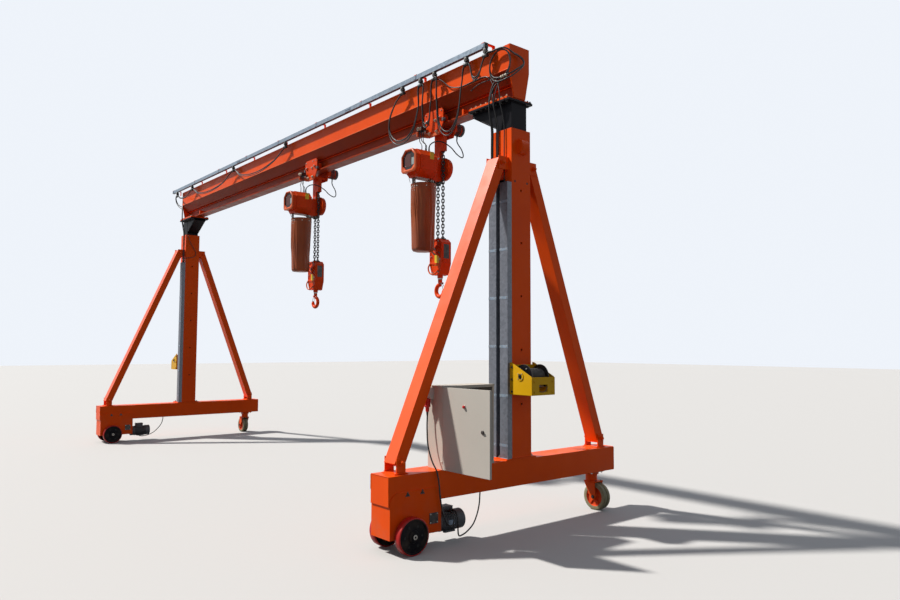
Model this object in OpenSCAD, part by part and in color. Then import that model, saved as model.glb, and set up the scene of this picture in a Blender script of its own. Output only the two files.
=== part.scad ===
/* [Main frame] */
// Distance between the two mast axes
span = 8500; // [6000:100:10000]
// From a mast axis to the driven end of its base beam
base_front = 1495; // [1300:5:1700]
// From a mast axis to the caster end of its base beam
base_rear = 1360; // [1200:5:1600]
// Height of the base beam's underside above the floor
base_z = 390; // [370:5:450]
// Height of the base beam itself
base_h = 235; // [200:5:260]
// Width of the base beam
base_w = 250; // [240:5:280]
// Wall of the base beam
base_wall = 8; // [6:1:12]
// Height of the girder's underside, where it rests on the mast heads
girder_z = 4020; // [3990:10:4200]

/* [Masts] */
// Side of the fixed mast
mast_w = 250; // [240:5:270]
// Wall of the fixed mast
mast_wall = 8; // [6:1:10]
// Width of the open slot down each Y face of the fixed mast
slot_w = 84; // [60:2:110]
// Height of the fixed mast's top
mast_top = 3715; // [3600:5:3740]
// Height of the closed collar at the top of the fixed mast
collar_h = 475; // [400:5:550]
// Side of the sliding inner mast
inner_w = 200; // [190:2:204]
// Wall of the sliding inner mast
inner_wall = 10; // [8:1:14]
// Running clearance between the inner mast's shoes and the fixed mast
shoe_gap = 0.5; // [0.3:0.1:1]
// Height of the masts' base plates
foot_t = 16; // [12:1:25]
// Height of the highest locking hole
pin_top = 3130; // [3000:10:3180]
// Distance between locking holes
pin_pitch = 500; // [400:10:540]
// Number of locking holes in each web
pin_count = 5; // [3:1:5]
// Diameter of the locking holes
pin_d = 22; // [16:1:30]

/* [Mast heads] */
// Reach of the head plate towards the middle of the span
head_in = 450; // [400:10:620]
// Reach of the head plate outwards
head_out = 125; // [110:5:260]
// Width of the head plate
head_w = 320; // [300:10:380]
// Thickness of the head plate
head_t = 20; // [15:1:25]
// Depth of the head's sloping gusset at the mast
gusset_h = 220; // [180:5:260]

/* [Girder] */
// Height of the whole girder
girder_h = 510; // [480:10:600]
// Width of the trough
trough_w = 260; // [240:5:300]
// Height of the trough's upright sides
side_h = 240; // [200:5:260]
// Wall of the trough
trough_wall = 8; // [6:1:10]
// Width of the trough's closed bottom
trough_bottom_w = 100; // [80:5:120]
// Width of the runway flange
flange_w = 150; // [130:5:160]
// Thickness of the runway flange
flange_t = 14; // [10:1:18]
// Height of the runway web, from flange to trough
web_h = 136; // [120:2:160]
// Thickness of the runway web
web_t = 10; // [8:1:14]
// How far the girder runs past each mast axis
girder_past = 100; // [60:5:150]
// Thickness of the girder's end plates
end_t = 10; // [8:1:16]
// Thickness of the girder's foot plates
seat_t = 20; // [15:1:25]

/* [Cable rail] */
// Width of the cable rail
rail_w = 40; // [30:1:50]
// Height of the cable rail
rail_h = 50; // [40:1:60]
// Wall of the cable rail
rail_wall = 3; // [2:0.5:4]
// Distance of the rail's axis from the girder's side
rail_out = 62; // [50:1:80]
// Gap between the girder's top and the rail's underside
rail_lift = 22; // [10:1:40]
// Number of arms that carry the rail
arm_count = 9; // [6:1:12]
// How far the rail stops short of the near mast axis
rail_short = 150; // [100:10:300]
// How far the rail runs past the far mast axis
rail_past = 415; // [300:5:500]

/* [Braces] */
// Width of a brace along the girder
brace_w = 150; // [120:5:160]
// Depth of a brace in its own plane
brace_d = 100; // [80:5:120]
// Wall of a brace
brace_wall = 6; // [4:1:8]
// Distance from the fixed mast's top down to the braces
brace_drop = 340; // [225:5:420]
// Distance of the front brace's foot from the mast axis
brace_front = 1345; // [1200:5:1370]
// Distance of the rear brace's foot from the mast axis
brace_rear = 1200; // [1050:5:1260]
// Thickness of the lugs that hold the braces
lug_t = 10; // [8:1:14]
// Diameter of the brace bolts' holes
brace_pin = 24; // [18:1:30]

/* [Cable ducts] */
// Width of a cable duct
duct_w = 100; // [80:5:100]
// Depth of a cable duct
duct_d = 57; // [40:1:70]
// Wall of a cable duct
duct_wall = 3; // [2:0.5:4]
// Clearance between the duct's top and the collar
duct_gap = 45; // [10:5:80]

/* [Drive units] */
// Diameter of a driving wheel
wheel_d = 300; // [260:5:320]
// Width of a driving wheel
wheel_w = 70; // [50:2:90]
// Distance of the wheel axle from the mast axis
wheel_y = 1300; // [1250:5:1330]
// Clearance between a wheel and the drive box
wheel_gap = 12; // [8:1:20]
// Diameter of the driving wheels' axle
axle_d = 50; // [40:1:60]
// Height of the drive box's lower edge above the floor
box_z = 130; // [110:5:140]
// Length of the drive box
box_l = 520; // [480:5:560]
// Plate of the drive box
box_wall = 6; // [5:1:10]
// Height that the drive box's cheeks overlap the beam
cheek_lap = 105; // [80:5:140]
// Diameter of the gear motor
motor_d = 170; // [150:5:180]
// Length of the gear motor
motor_l = 310; // [260:5:360]

/* [Casters] */
// Distance of the swivel axis from the mast axis
caster_y = 1150; // [1050:5:1200]
// Diameter of the caster's wheels
caster_d = 270; // [230:5:280]
// Width of each caster wheel
caster_w = 45; // [35:1:55]
// Distance between the swivel axis and the wheel axle
caster_trail = 70; // [50:5:100]
// Turn of the casters at rest
caster_turn = -90; // [-180:5:180]

/* [Winches] */
// Height of the winch drum's axis
winch_z = 1390; // [1300:5:1450]
// Distance of the drum's axis from the mast's face
drum_out = 130; // [120:1:150]
// Diameter of the drum's flanges
drum_flange_d = 216; // [190:2:230]
// Diameter of the drum's barrel
drum_d = 110; // [90:2:130]
// Length of the drum between its flanges
drum_l = 205; // [180:5:220]
// Width of the winch frame
winch_w = 300; // [280:5:320]
// Depth of the winch frame
winch_d = 265; // [255:1:290]
// Plate of the winch frame
winch_t = 8; // [6:1:10]

/* [Hoists] */
// Distance of the near hoist from the near mast axis
near_hoist = 1080; // [1000:10:1300]
// Distance of the far hoist from the near mast axis
far_hoist = 3750; // [3500:10:4500]
// Width of the hoist body
hoist_w = 262; // [240:2:310]
// Height of the hoist body
hoist_h = 292; // [270:2:380]
// Height of the hoist body's underside
hoist_z = 3420; // [3400:5:3460]
// Length of the hoist's front housing
housing_l = 280; // [240:5:300]
// Length of the hoist's rear housing
gearbox_l = 224; // [210:2:240]
// Diameter of the hoist's gear case
gear_case_d = 240; // [200:5:260]
// Width of a trolley between its side plates
trolley_l = 320; // [280:5:360]
// Diameter of the trolley wheels
runner_d = 100; // [80:2:110]
// Clearance between runway flange and trolley plates
runner_gap = 12; // [8:1:20]
// Diameter of the load chain's wire
chain_d = 11; // [8:0.5:13]
// Pitch of the load chain
chain_pitch = 34; // [28:0.5:40]
// Number of links in each fall of the load chain
chain_links = 19; // [10:1:24]
// Number of links of the anchored fall that rise past the hoist
anchor_links = 10; // [6:1:11]
// Distance between the two falls of the load chain
fall_gap = 84; // [70:1:100]
// Diameter of the chain bag
bag_d = 266; // [220:2:270]
// Height of the chain bag
bag_h = 740; // [500:10:900]
// Distance of the chain bag's axis from the girder's middle
bag_y = 230; // [210:5:270]

/* [Hooks] */
// Width of the hook block
block_w = 200; // [180:5:230]
// Depth of the hook block
block_t = 120; // [100:5:140]
// Height of the hook block
block_h = 385; // [280:5:420]
// Inner diameter of the hook
hook_in = 84; // [50:1:90]
// Thickness of the hook's bowl
hook_d = 44; // [28:1:48]
// Turn of the far hook at rest
far_hook_turn = 180; // [0:5:180]

/* [Control cabinet] */
// Width of the cabinet
cab_w = 590; // [500:10:600]
// Height of the cabinet
cab_h = 695; // [600:5:800]
// Depth of the cabinet
cab_d = 200; // [160:5:220]
// Distance of the cabinet's far edge from the mast axis
cab_y = 945; // [900:5:1000]
// Sheet of the cabinet
cab_t = 3; // [2:0.5:4]
// Thickness of the cabinet door
door_t = 20; // [16:1:26]
// Opening angle of the door at rest
door_open = 90; // [0:5:110]

/* [Cables] */
// Diameter of the festoon cables
festoon_d = 16; // [12:1:20]
// Diameter of the leads to motors and hoists
lead_d = 13; // [9:1:16]

/* [Hidden] */
$fn = 48;
eps = 0.01;
seat = 0.3;
orange = [0.95, 0.33, 0.02];
black = [0.07, 0.07, 0.08];
zinc = [0.62, 0.64, 0.68];
yellow = [0.92, 0.76, 0.05];

base_top = base_z + base_h;
mast_inside = mast_w/2 - mast_wall;
collar_z = mast_top - collar_h;
foot_top = base_top + foot_t;
head_z = girder_z - seat_t - head_t;
inner_bottom = foot_top + seat;
side_y = mast_w/2;
brace_top = mast_top - brace_drop;

girder_top = girder_z + girder_h;
runway_top = girder_z + flange_t;
trough_z = runway_top + web_h;
knee_z = girder_top - side_h;
girder_l = span + 2*girder_past;

cab_front = base_w/2;
door_w = cab_w - 15;
hinge_x = cab_front + 2 + door_t/2;
hinge_y = -cab_y - 7;
door_start = 9;
near_reach = hinge_x + door_start + door_w;
far_reach = rail_past;
// The crane's own box is centred on its origin along the girder and across it
near_x = (span + far_reach - near_reach)/2;
far_x = near_x - span;
front_reach = base_front;
back_reach = base_rear;
mid_y = (front_reach - back_reach)/2;

rail_y = -trough_w/2 - rail_out;
rail_z = girder_top + rail_lift;
rail_l = span + rail_past - rail_short;

// Places a leg's part at the near mast
module at_near() translate([near_x, mid_y, 0]) children();
// Places the same part, turned outwards, at the far mast
module at_far() translate([far_x, mid_y, 0]) mirror([1, 0, 0]) children();
// Places a part that is measured from the near mast axis
module from_near() translate([near_x, mid_y, 0]) children();

module block(size, at) translate(at) cube(size);
module block_mid(size, at) translate([at[0] - size[0]/2, at[1] - size[1]/2, at[2]]) cube(size);
module rod_x(d, l, at) translate(at) rotate([0, 90, 0]) cylinder(d = d, h = l);
module rod_y(d, l, at) translate(at) rotate([-90, 0, 0]) cylinder(d = d, h = l);
module rod_z(d, l, at) translate(at) cylinder(d = d, h = l);

// Outline of the trough, half width against height, from the girder's underside
trough_half = trough_w/2;
module trough_outline(inset) {
  polygon([
    [-trough_bottom_w/2 + inset*0.6, trough_z + inset],
    [trough_bottom_w/2 - inset*0.6, trough_z + inset],
    [trough_half - inset, knee_z + inset*0.5],
    [trough_half - inset, girder_top - inset],
    [-trough_half + inset, girder_top - inset],
    [-trough_half + inset, knee_z + inset*0.5]
  ]);
}

// Sweeps an outline, drawn as Y against Z, along the girder
module along_girder(from_x, length) {
  translate([from_x, 0, 0]) rotate([90, 0, 90]) linear_extrude(length) children();
}

module girder_box() color(orange) from_near()
  along_girder(girder_past - girder_l, girder_l) difference() {
    trough_outline(0);
    trough_outline(trough_wall);
  }

module runway_beam() color(orange) from_near()
  along_girder(girder_past - girder_l, girder_l) union() {
    translate([-flange_w/2, girder_z]) square([flange_w, flange_t]);
    translate([-web_t/2, runway_top - eps]) square([web_t, web_h + eps]);
  }

module end_plate() linear_extrude(end_t) polygon([
  [-flange_w/2, girder_z],
  [flange_w/2, girder_z],
  [trough_half, knee_z],
  [trough_half, girder_top],
  [-trough_half, girder_top],
  [-trough_half, knee_z]
]);

module girder_plates() color(orange) from_near() {
  translate([girder_past, 0, 0]) rotate([90, 0, 90]) end_plate();
  translate([girder_past - girder_l - end_t, 0, 0]) rotate([90, 0, 90]) end_plate();
  for (x = [-head_in, -span - girder_past])
    block([head_in + girder_past, head_w, seat_t], [x, -head_w/2, girder_z - seat_t]);
}

// Head of an inner mast, reaching towards the middle of the span along -X
module inner_mast() {
  shoe_h = 160;
  shoe_w = 150;
  shoe_t = mast_inside - inner_w/2 - shoe_gap;
  gusset_tip = 25;
  difference() {
    block_mid([inner_w, inner_w, head_z - inner_bottom], [0, 0, inner_bottom]);
    block_mid([inner_w - 2*inner_wall, inner_w - 2*inner_wall, head_z - inner_bottom + 2],
      [0, 0, inner_bottom - 1]);
  }
  block([head_in + head_out, head_w, head_t], [-head_in, -head_w/2, head_z]);
  // Sloping gusset on the inward face
  for (side = [-1, 1])
    translate([0, side*(inner_w/2 - inner_wall/2) + inner_wall/2, 0]) rotate([90, 0, 0])
      linear_extrude(inner_wall) polygon([
        [-inner_w/2 + eps, head_z],
        [-inner_w/2 + eps, head_z - gusset_h],
        [-head_in, head_z - gusset_tip],
        [-head_in, head_z]
      ]);
  // Plate under the gusset
  rotate([90, 0, 0]) linear_extrude(inner_w, center = true) polygon([
    [-inner_w/2 + eps, head_z - gusset_h],
    [-inner_w/2 + eps, head_z - gusset_h - inner_wall],
    [-head_in, head_z - gusset_tip - inner_wall],
    [-head_in, head_z - gusset_tip]
  ]);
  for (turn = [0:90:270]) rotate([0, 0, turn])
    block([shoe_t, shoe_w, shoe_h], [inner_w/2, -shoe_w/2, inner_bottom]);
}

module near_inner_mast() color(black) at_near() inner_mast();
module far_inner_mast() color(black) at_far() inner_mast();

module cable_rail() color(zinc) from_near()
  along_girder(-rail_short - rail_l, rail_l) difference() {
    translate([rail_y - rail_w/2, rail_z]) square([rail_w, rail_h]);
    translate([rail_y - rail_w/2 + rail_wall, rail_z + rail_wall])
      square([rail_w - 2*rail_wall, rail_h - 2*rail_wall]);
    translate([rail_y - rail_w/6, rail_z - 1]) square([rail_w/3, rail_wall + 2]);
  }

arm_w = 40;
arm_t = 6;
arm_pitch = (rail_l - 60)/(arm_count - 1);
module rail_arms() color(orange) from_near() for (i = [0:arm_count - 1])
  translate([-rail_short - 30 - i*arm_pitch - arm_w/2, 0, 0]) {
    top = rail_z + rail_h;
    block([arm_w, -rail_y + rail_w/2 - trough_half/2, arm_t],
      [0, rail_y - rail_w/2, top]);
    block([arm_w, arm_t, top - girder_top], [0, -trough_half/2 - arm_t, girder_top]);
  }

carrier_x = [160, 440, 950, 1190, 1520, 4330, 6130, 7940, 8700];
module rail_carriers() color(black) from_near() for (x = carrier_x) {
  hanger = 24;
  translate([-x, rail_y, rail_z]) {
    block([50, rail_w/3 - 2, rail_h - rail_wall - 4 + hanger],
      [-25, -rail_w/6 + 1, -hanger]);
    for (dx = [-15, 15])
      rod_y(18, rail_w - 2*rail_wall - 3, [dx, -rail_w/2 + rail_wall + 1.5, rail_wall + 9 + seat]);
    rod_y(44, rail_w - 4, [0, -rail_w/2 + 2, -hanger - 12]);
  }
}

stop_w = 24;
near_stop = head_in + 170;
module trolley_stops() color(orange) from_near()
  for (x = [-near_stop - stop_w, near_stop - span]) for (side = [-1, 1])
    block([stop_w, flange_w/2 - web_t/2, 60],
      [x, side > 0 ? web_t/2 : -flange_w/2, runway_top]);

// Fork lug for a brace end, with its foot at the origin and its bore along X
lug_rise = 95;
lug_l = 90;
module brace_lug() difference() {
  union() {
    block_mid([brace_w + 2*lug_t + 2, lug_l + 40, lug_t], [0, 0, 0]);
    for (side = [-1, 1])
      block([lug_t, lug_l, lug_rise + 30],
        [side*(brace_w/2 + 1 + lug_t/2) - lug_t/2, -lug_l/2, lug_t - eps]);
  }
  rod_x(brace_pin, brace_w + 4*lug_t, [-brace_w/2 - 2*lug_t, 0, lug_rise]);
}

caster_plate_w = 180;
caster_plate_l = 200;
caster_plate_t = 12;
module base_beam() {
  difference() {
    block([base_w, base_front + base_rear, base_h], [-base_w/2, -base_front, base_z]);
    block([base_w - 2*base_wall, base_front + base_rear - 2*end_t, base_h - 2*base_wall],
      [-base_w/2 + base_wall, -base_front + end_t, base_z + base_wall]);
  }
  translate([0, -brace_front, base_top - eps]) brace_lug();
  translate([0, brace_rear, base_top - eps]) brace_lug();
  // Plate that carries the caster
  block_mid([caster_plate_w, caster_plate_l, caster_plate_t],
    [0, caster_y, base_z - caster_plate_t + eps]);
}
module near_base_beam() color(orange) at_near() base_beam();
module far_base_beam() color(orange) at_far() base_beam();

// Outline of a channel half of the fixed mast
module mast_section() difference() {
  square([mast_w, mast_w], center = true);
  square([2*mast_inside, 2*mast_inside], center = true);
  square([slot_w, mast_w + 2], center = true);
}
module collar_section() difference() {
  square([mast_w, mast_w], center = true);
  square([2*mast_inside, 2*mast_inside], center = true);
}

top_lug_out = 125;
module outer_mast() {
  foot_x = mast_w;
  foot_y = mast_w + 130;
  guard_d = 140;
  guard_w = 92;
  guard_out = 72;
  guard_z = mast_top - 170;
  difference() {
    union() {
      translate([0, 0, foot_top - eps]) linear_extrude(collar_z - foot_top + 2*eps) mast_section();
      translate([0, 0, collar_z]) linear_extrude(collar_h) collar_section();
      block_mid([foot_x, foot_y, foot_t], [0, 0, base_top]);
      // Lugs that take the braces' upper ends
      for (side = [-1, 1]) for (x = [-1, 1])
        block([lug_t, top_lug_out, 120],
          [x*(brace_w/2 + 1 + lug_t/2) - lug_t/2,
           side > 0 ? side_y - eps : -side_y - top_lug_out + eps, brace_top - 60]);
    }
    for (i = [0:pin_count - 1])
      rod_x(pin_d, mast_w + 2, [-mast_w/2 - 1, 0, pin_top - i*pin_pitch]);
    for (side = [-1, 1])
      rod_x(brace_pin, brace_w + 4*lug_t,
        [-brace_w/2 - 2*lug_t, side*(side_y + top_lug_out - 40), brace_top]);
  }
  // Half-round guard over the rope sheave
  intersection() {
    rod_y(2*guard_out, guard_w, [side_y, -guard_w/2, guard_z]);
    block([guard_out + 1, guard_w, guard_d], [side_y - eps, -guard_w/2, guard_z - guard_d/2]);
  }
}
module near_outer_mast() color(orange) at_near() outer_mast();
module far_outer_mast() color(orange) at_far() outer_mast();

// One brace from its foot pin to its top pin
module brace(foot_y, top_y) {
  foot_z = base_top + lug_rise;
  run = abs(foot_y) - abs(top_y);
  rise = brace_top - foot_z;
  length = sqrt(run*run + rise*rise);
  lean = atan2(run, rise);
  way = foot_y > 0 ? 1 : -1;
  translate([0, foot_y, foot_z]) rotate([way*lean, 0, 0]) difference() {
    block_mid([brace_w, brace_d, length + 60], [0, 0, -30]);
    block_mid([brace_w - 2*brace_wall, brace_d - 2*brace_wall, length + 60 - 2*brace_wall],
      [0, 0, -30 + brace_wall]);
    rod_x(brace_pin, brace_w + 2, [-brace_w/2 - 1, 0, 0]);
    rod_x(brace_pin, brace_w + 2, [-brace_w/2 - 1, 0, length]);
  }
}
module brace_bolt(y, z) {
  head = 36;
  rod_x(brace_pin - 2*seat, brace_w + 2*lug_t + 4, [-brace_w/2 - lug_t - 2, y, z]);
  for (side = [-1, 1])
    rod_x(head, 14, [side*(brace_w/2 + 1 + lug_t + seat + 7) - 7, y, z]);
}
module braces() {
  top_y = side_y + top_lug_out - 40;
  brace(-brace_front, -top_y);
  brace(brace_rear, top_y);
  for (p = [[-brace_front, base_top + lug_rise], [brace_rear, base_top + lug_rise],
            [-top_y, brace_top], [top_y, brace_top]])
    brace_bolt(p[0], p[1]);
}
module near_braces() color(orange) at_near() braces();
module far_braces() color(orange) at_far() braces();

// One square cable duct on the front face of a mast, with its side at x
module duct(x) {
  z = foot_top;
  length = collar_z - duct_gap - z;
  difference() {
    block([duct_w, duct_d, length], [x, -side_y - duct_d, z]);
    block([duct_w - 2*duct_wall, duct_d - 2*duct_wall, length + 2],
      [x + duct_wall, -side_y - duct_d + duct_wall, z - 1]);
  }
}
module near_ducts() color(zinc) at_near() {
  duct(side_y - duct_w);
  duct(-side_y);
}
module far_duct() color(zinc) at_far() duct(-side_y);

box_front = base_front - 12;
axle_z = wheel_d/2;
module drive_box() {
  cheek_top = base_z + cheek_lap;
  round_d = 180;
  for (side = [-1, 1])
    translate([side > 0 ? base_w/2 : -base_w/2 - box_wall, -box_front, 0]) difference() {
      rotate([90, 0, 90]) linear_extrude(box_wall) union() {
        translate([0, box_z]) square([box_l, cheek_top - round_d/2 - box_z]);
        translate([round_d/2, cheek_top - round_d/2 - eps]) square([box_l - round_d/2, round_d/2]);
        translate([round_d/2, cheek_top - round_d/2]) circle(d = round_d);
      }
      rod_x(axle_d + 1, 3*box_wall, [-box_wall, box_front - wheel_y, axle_z]);
    }
  for (y = [-box_front, -box_front + box_l - box_wall])
    block([base_w, box_wall, base_z - box_z], [-base_w/2, y, box_z]);
}
module near_drive_box() color(orange) at_near() drive_box();
module far_drive_box() color(orange) at_far() drive_box();

gland_step = 48;
module drive_motor() {
  y0 = -box_front + box_l;
  z = axle_z + 20;
  fins = 9;
  stator_l = motor_l*0.5;
  pitch = stator_l/fins;
  rod_y(motor_d - 10, motor_l*0.2, [0, y0, z]);
  rod_y(motor_d - 26, motor_l*0.72, [0, y0 + motor_l*0.2 - eps, z]);
  for (i = [0:fins - 1])
    rod_y(motor_d - 4, pitch*0.4, [0, y0 + motor_l*0.22 + i*pitch, z]);
  rod_y(motor_d, motor_l*0.24, [0, y0 + motor_l*0.76, z]);
  block([90, 110, 60], [-45, y0 + motor_l*0.28, z + motor_d/2 - 20]);
  for (dy = [-gland_step/2, gland_step/2])
    rod_x(26, 30, [45 - eps, y0 + motor_l*0.28 + 55 + dy, z + motor_d/2 + 12]);
}
module near_drive_motor() color([0.45, 0.47, 0.5]) at_near() drive_motor();
module far_drive_motor() color([0.45, 0.47, 0.5]) at_far() drive_motor();

// Pair of driving wheels on their common axle
module drive_wheel(x) {
  rim_d = wheel_d - 46;
  difference() {
    rod_x(wheel_d, wheel_w, [x, -wheel_y, axle_z]);
    for (end = [x - 1, x + wheel_w - 14])
      translate([end, -wheel_y, axle_z]) rotate([0, 90, 0]) difference() {
        cylinder(d = rim_d, h = 15);
        translate([0, 0, -1]) cylinder(d = 96, h = 17);
      }
    for (a = [0:60:300])
      rod_x(34, wheel_w + 2, [x - 1, -wheel_y + 86*cos(a), axle_z + 86*sin(a)]);
  }
}
wheel_x = base_w/2 + box_wall + wheel_gap;
module drive_wheels() {
  drive_wheel(wheel_x);
  drive_wheel(-wheel_x - wheel_w);
  rod_x(axle_d, 2*(wheel_x + wheel_w + 8), [-wheel_x - wheel_w - 8, -wheel_y, axle_z]);
}
module near_drive_wheels() color([0.75, 0.1, 0.06]) at_near() drive_wheels();
module far_drive_wheels() color([0.75, 0.1, 0.06]) at_far() drive_wheels();

// Caster, drawn with its swivel axis on the origin's upright and its trail along +Y
caster_axle_z = caster_d/2;
fork_in = caster_w + 12;
module caster_fork() {
  top = base_z - caster_plate_t - seat;
  race_d = 150;
  race_t = 24;
  crown = caster_d + 20;
  cheek_t = 8;
  rod_z(race_d, race_t, [0, 0, top - race_t]);
  rod_z(race_d - 30, top - race_t - crown + 2*eps, [0, 0, crown - eps]);
  block_mid([2*fork_in + 2*cheek_t, 130, 12], [0, caster_trail/2, crown - 12]);
  for (side = [-1, 1]) difference() {
    translate([side*(fork_in + cheek_t/2) + cheek_t/2, 0, 0]) rotate([90, 0, 90])
      translate([0, 0, -cheek_t]) linear_extrude(cheek_t) polygon([
        [-50, crown - eps], [90, crown - eps], [caster_trail + 34, caster_axle_z],
        [caster_trail + 18, caster_axle_z - 34], [caster_trail - 18, caster_axle_z - 34],
        [caster_trail - 34, caster_axle_z]
      ]);
    rod_x(24, 3*cheek_t, [side*(fork_in + cheek_t/2) - 1.5*cheek_t, caster_trail, caster_axle_z]);
  }
}
module caster_wheel() {
  for (side = [-1, 1]) {
    x = side > 0 ? 3 : -3 - caster_w;
    rod_x(caster_d, caster_w, [x, caster_trail, caster_axle_z]);
    rod_x(70, 5, [side > 0 ? caster_w + 3 - eps : -caster_w - 8 + eps, caster_trail, caster_axle_z]);
  }
  rod_x(23.4, 2*fork_in + 30, [-fork_in - 15, caster_trail, caster_axle_z]);
}
module caster_place() translate([0, caster_y, 0]) rotate([0, 0, caster_turn]) children();
module near_caster_fork() color(orange) at_near() caster_place() caster_fork();
module far_caster_fork() color(orange) at_far() caster_place() caster_fork();
module near_caster_wheel() color([0.75, 0.7, 0.5]) at_near() caster_place() caster_wheel();
module far_caster_wheel() color([0.75, 0.7, 0.5]) at_far() caster_place() caster_wheel();

drum_x = side_y + drum_out;
drum_shaft = 30;
module winch_frame() {
  front_x = side_y + winch_d;
  low = winch_z - 166;
  back_h = 270;
  for (side = [-1, 1]) difference() {
    translate([0, side*(winch_w/2 - winch_t/2) + winch_t/2, 0]) rotate([90, 0, 0])
      linear_extrude(winch_t) polygon([
        [side_y, low], [side_y, winch_z + 125], [side_y + 15, winch_z + 125],
        [front_x, winch_z], [front_x, low], [front_x - 90, low]
      ]);
    rod_y(drum_shaft + 1, 3*winch_t,
      [drum_x, side*(winch_w/2 - winch_t/2) - 1.5*winch_t, winch_z]);
  }
  difference() {
    block([winch_t, winch_w, winch_z - 5 - low], [front_x - eps, -winch_w/2, low]);
    block([3*winch_t, 110, 64], [front_x - winch_t, -55, low + 30]);
  }
  block([winch_t, winch_w - 2*winch_t + 2*eps, back_h], [side_y, -winch_w/2 + winch_t - eps, low]);
}
module near_winch_frame() color(yellow) at_near() winch_frame();
module far_winch_frame() color(yellow) at_far() winch_frame();

module winch_drum() {
  flange_t = 8;
  rod_y(drum_d, drum_l, [drum_x, -drum_l/2, winch_z]);
  for (side = [-1, 1])
    rod_y(drum_flange_d, flange_t,
      [drum_x, side > 0 ? drum_l/2 - eps : -drum_l/2 - flange_t + eps, winch_z]);
  rod_y(drum_shaft, winch_w + 24, [drum_x, -winch_w/2 - 12, winch_z]);
}
module near_winch_drum() color(black) at_near() winch_drum();
module far_winch_drum() color(black) at_far() winch_drum();

// Trolley that hangs from the runway flange, centred on the origin's X
plate_y = flange_w/2 + runner_gap;
plate_drop = 115;
chain_top = hoist_z + 15;
plate_rise = 168;
wheel_case_in = 12;
anchor_low = chain_top + anchor_links*chain_pitch - 2*chain_d;
module trolley() {
  plate_t = 12;
  z0 = girder_z - plate_drop;
  z1 = girder_z + plate_rise;
  axle_z = runway_top + runner_d/2 + seat;
  gear_d = 70;
  gear_w = 150;
  drive_d = 120;
  drive_l = 120;
  drive_z = girder_z + 20;
  for (side = [-1, 1]) {
    y = side > 0 ? plate_y : -plate_y - plate_t;
    translate([0, y + plate_t, 0]) rotate([90, 0, 0]) linear_extrude(plate_t) polygon([
      [-trolley_l/2, axle_z - 50], [-trolley_l/2, z1 - 30], [-trolley_l/2 + 30, z1],
      [trolley_l/2 - 30, z1], [trolley_l/2, z1 - 30], [trolley_l/2, axle_z - 50],
      [90, z0], [-90, z0]
    ]);
    for (dx = [-1, 1]) {
      w = flange_w/2 - web_t/2 - 20;
      x = dx*(trolley_l/2 - runner_d/2 - 4);
      rod_y(runner_d, w, [x, side > 0 ? flange_w/2 - w : -flange_w/2, axle_z]);
      rod_y(34, w + runner_gap + 8,
        [x, side > 0 ? flange_w/2 - w + 4 : -flange_w/2 - runner_gap - 4, axle_z]);
    }
  }
  // Tie bars and the hanger that carries the hoist
  for (dx = [-60, 60])
    rod_y(34, 2*plate_y + 2*plate_t + 20, [dx, -plate_y - plate_t - 10, z0 + 40]);
  difference() {
    block_mid([hanger_w, hanger_t, z0 + 30 - anchor_low], [0, 0, anchor_low]);
    rod_z(chain_bore, 3*chain_d + 1.5*seat + 1, [fall_gap/2, 0, anchor_low - 1]);
  }
  block([hanger_w/2 + wheel_case_in, hanger_t, anchor_low + eps - (hoist_z + hoist_h)],
    [-hanger_w/2, -hanger_t/2, hoist_z + hoist_h]);
  // Travel motor and its gearbox on the far side
  block([gear_w, gear_d, gear_w], [-gear_w/2, plate_y + plate_t - eps, drive_z - gear_w/3]);
  rod_y(drive_d, drive_l, [0, plate_y + plate_t + gear_d - 2*eps, drive_z]);
}
module near_trolley() color(orange) from_near() translate([-near_hoist, 0, 0]) trolley();
module far_trolley() color(orange) from_near() translate([-far_hoist, 0, 0]) trolley();

// Hoist: a front housing with cut corners, then the round gearbox that holds the chain wheel
gearbox_y = 74;
hanger_w = 150;
hanger_t = 50;
chain_bore = 46;
gear_case_l = 50;
rim_t = 10;
module chain_bores(low, high) for (side = [-1, 1])
  rod_z(chain_bore, high - low, [side*fall_gap/2, 0, low]);
cover_rim = 34;
cover_recess = 12;
corner_cut = 70;
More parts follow.
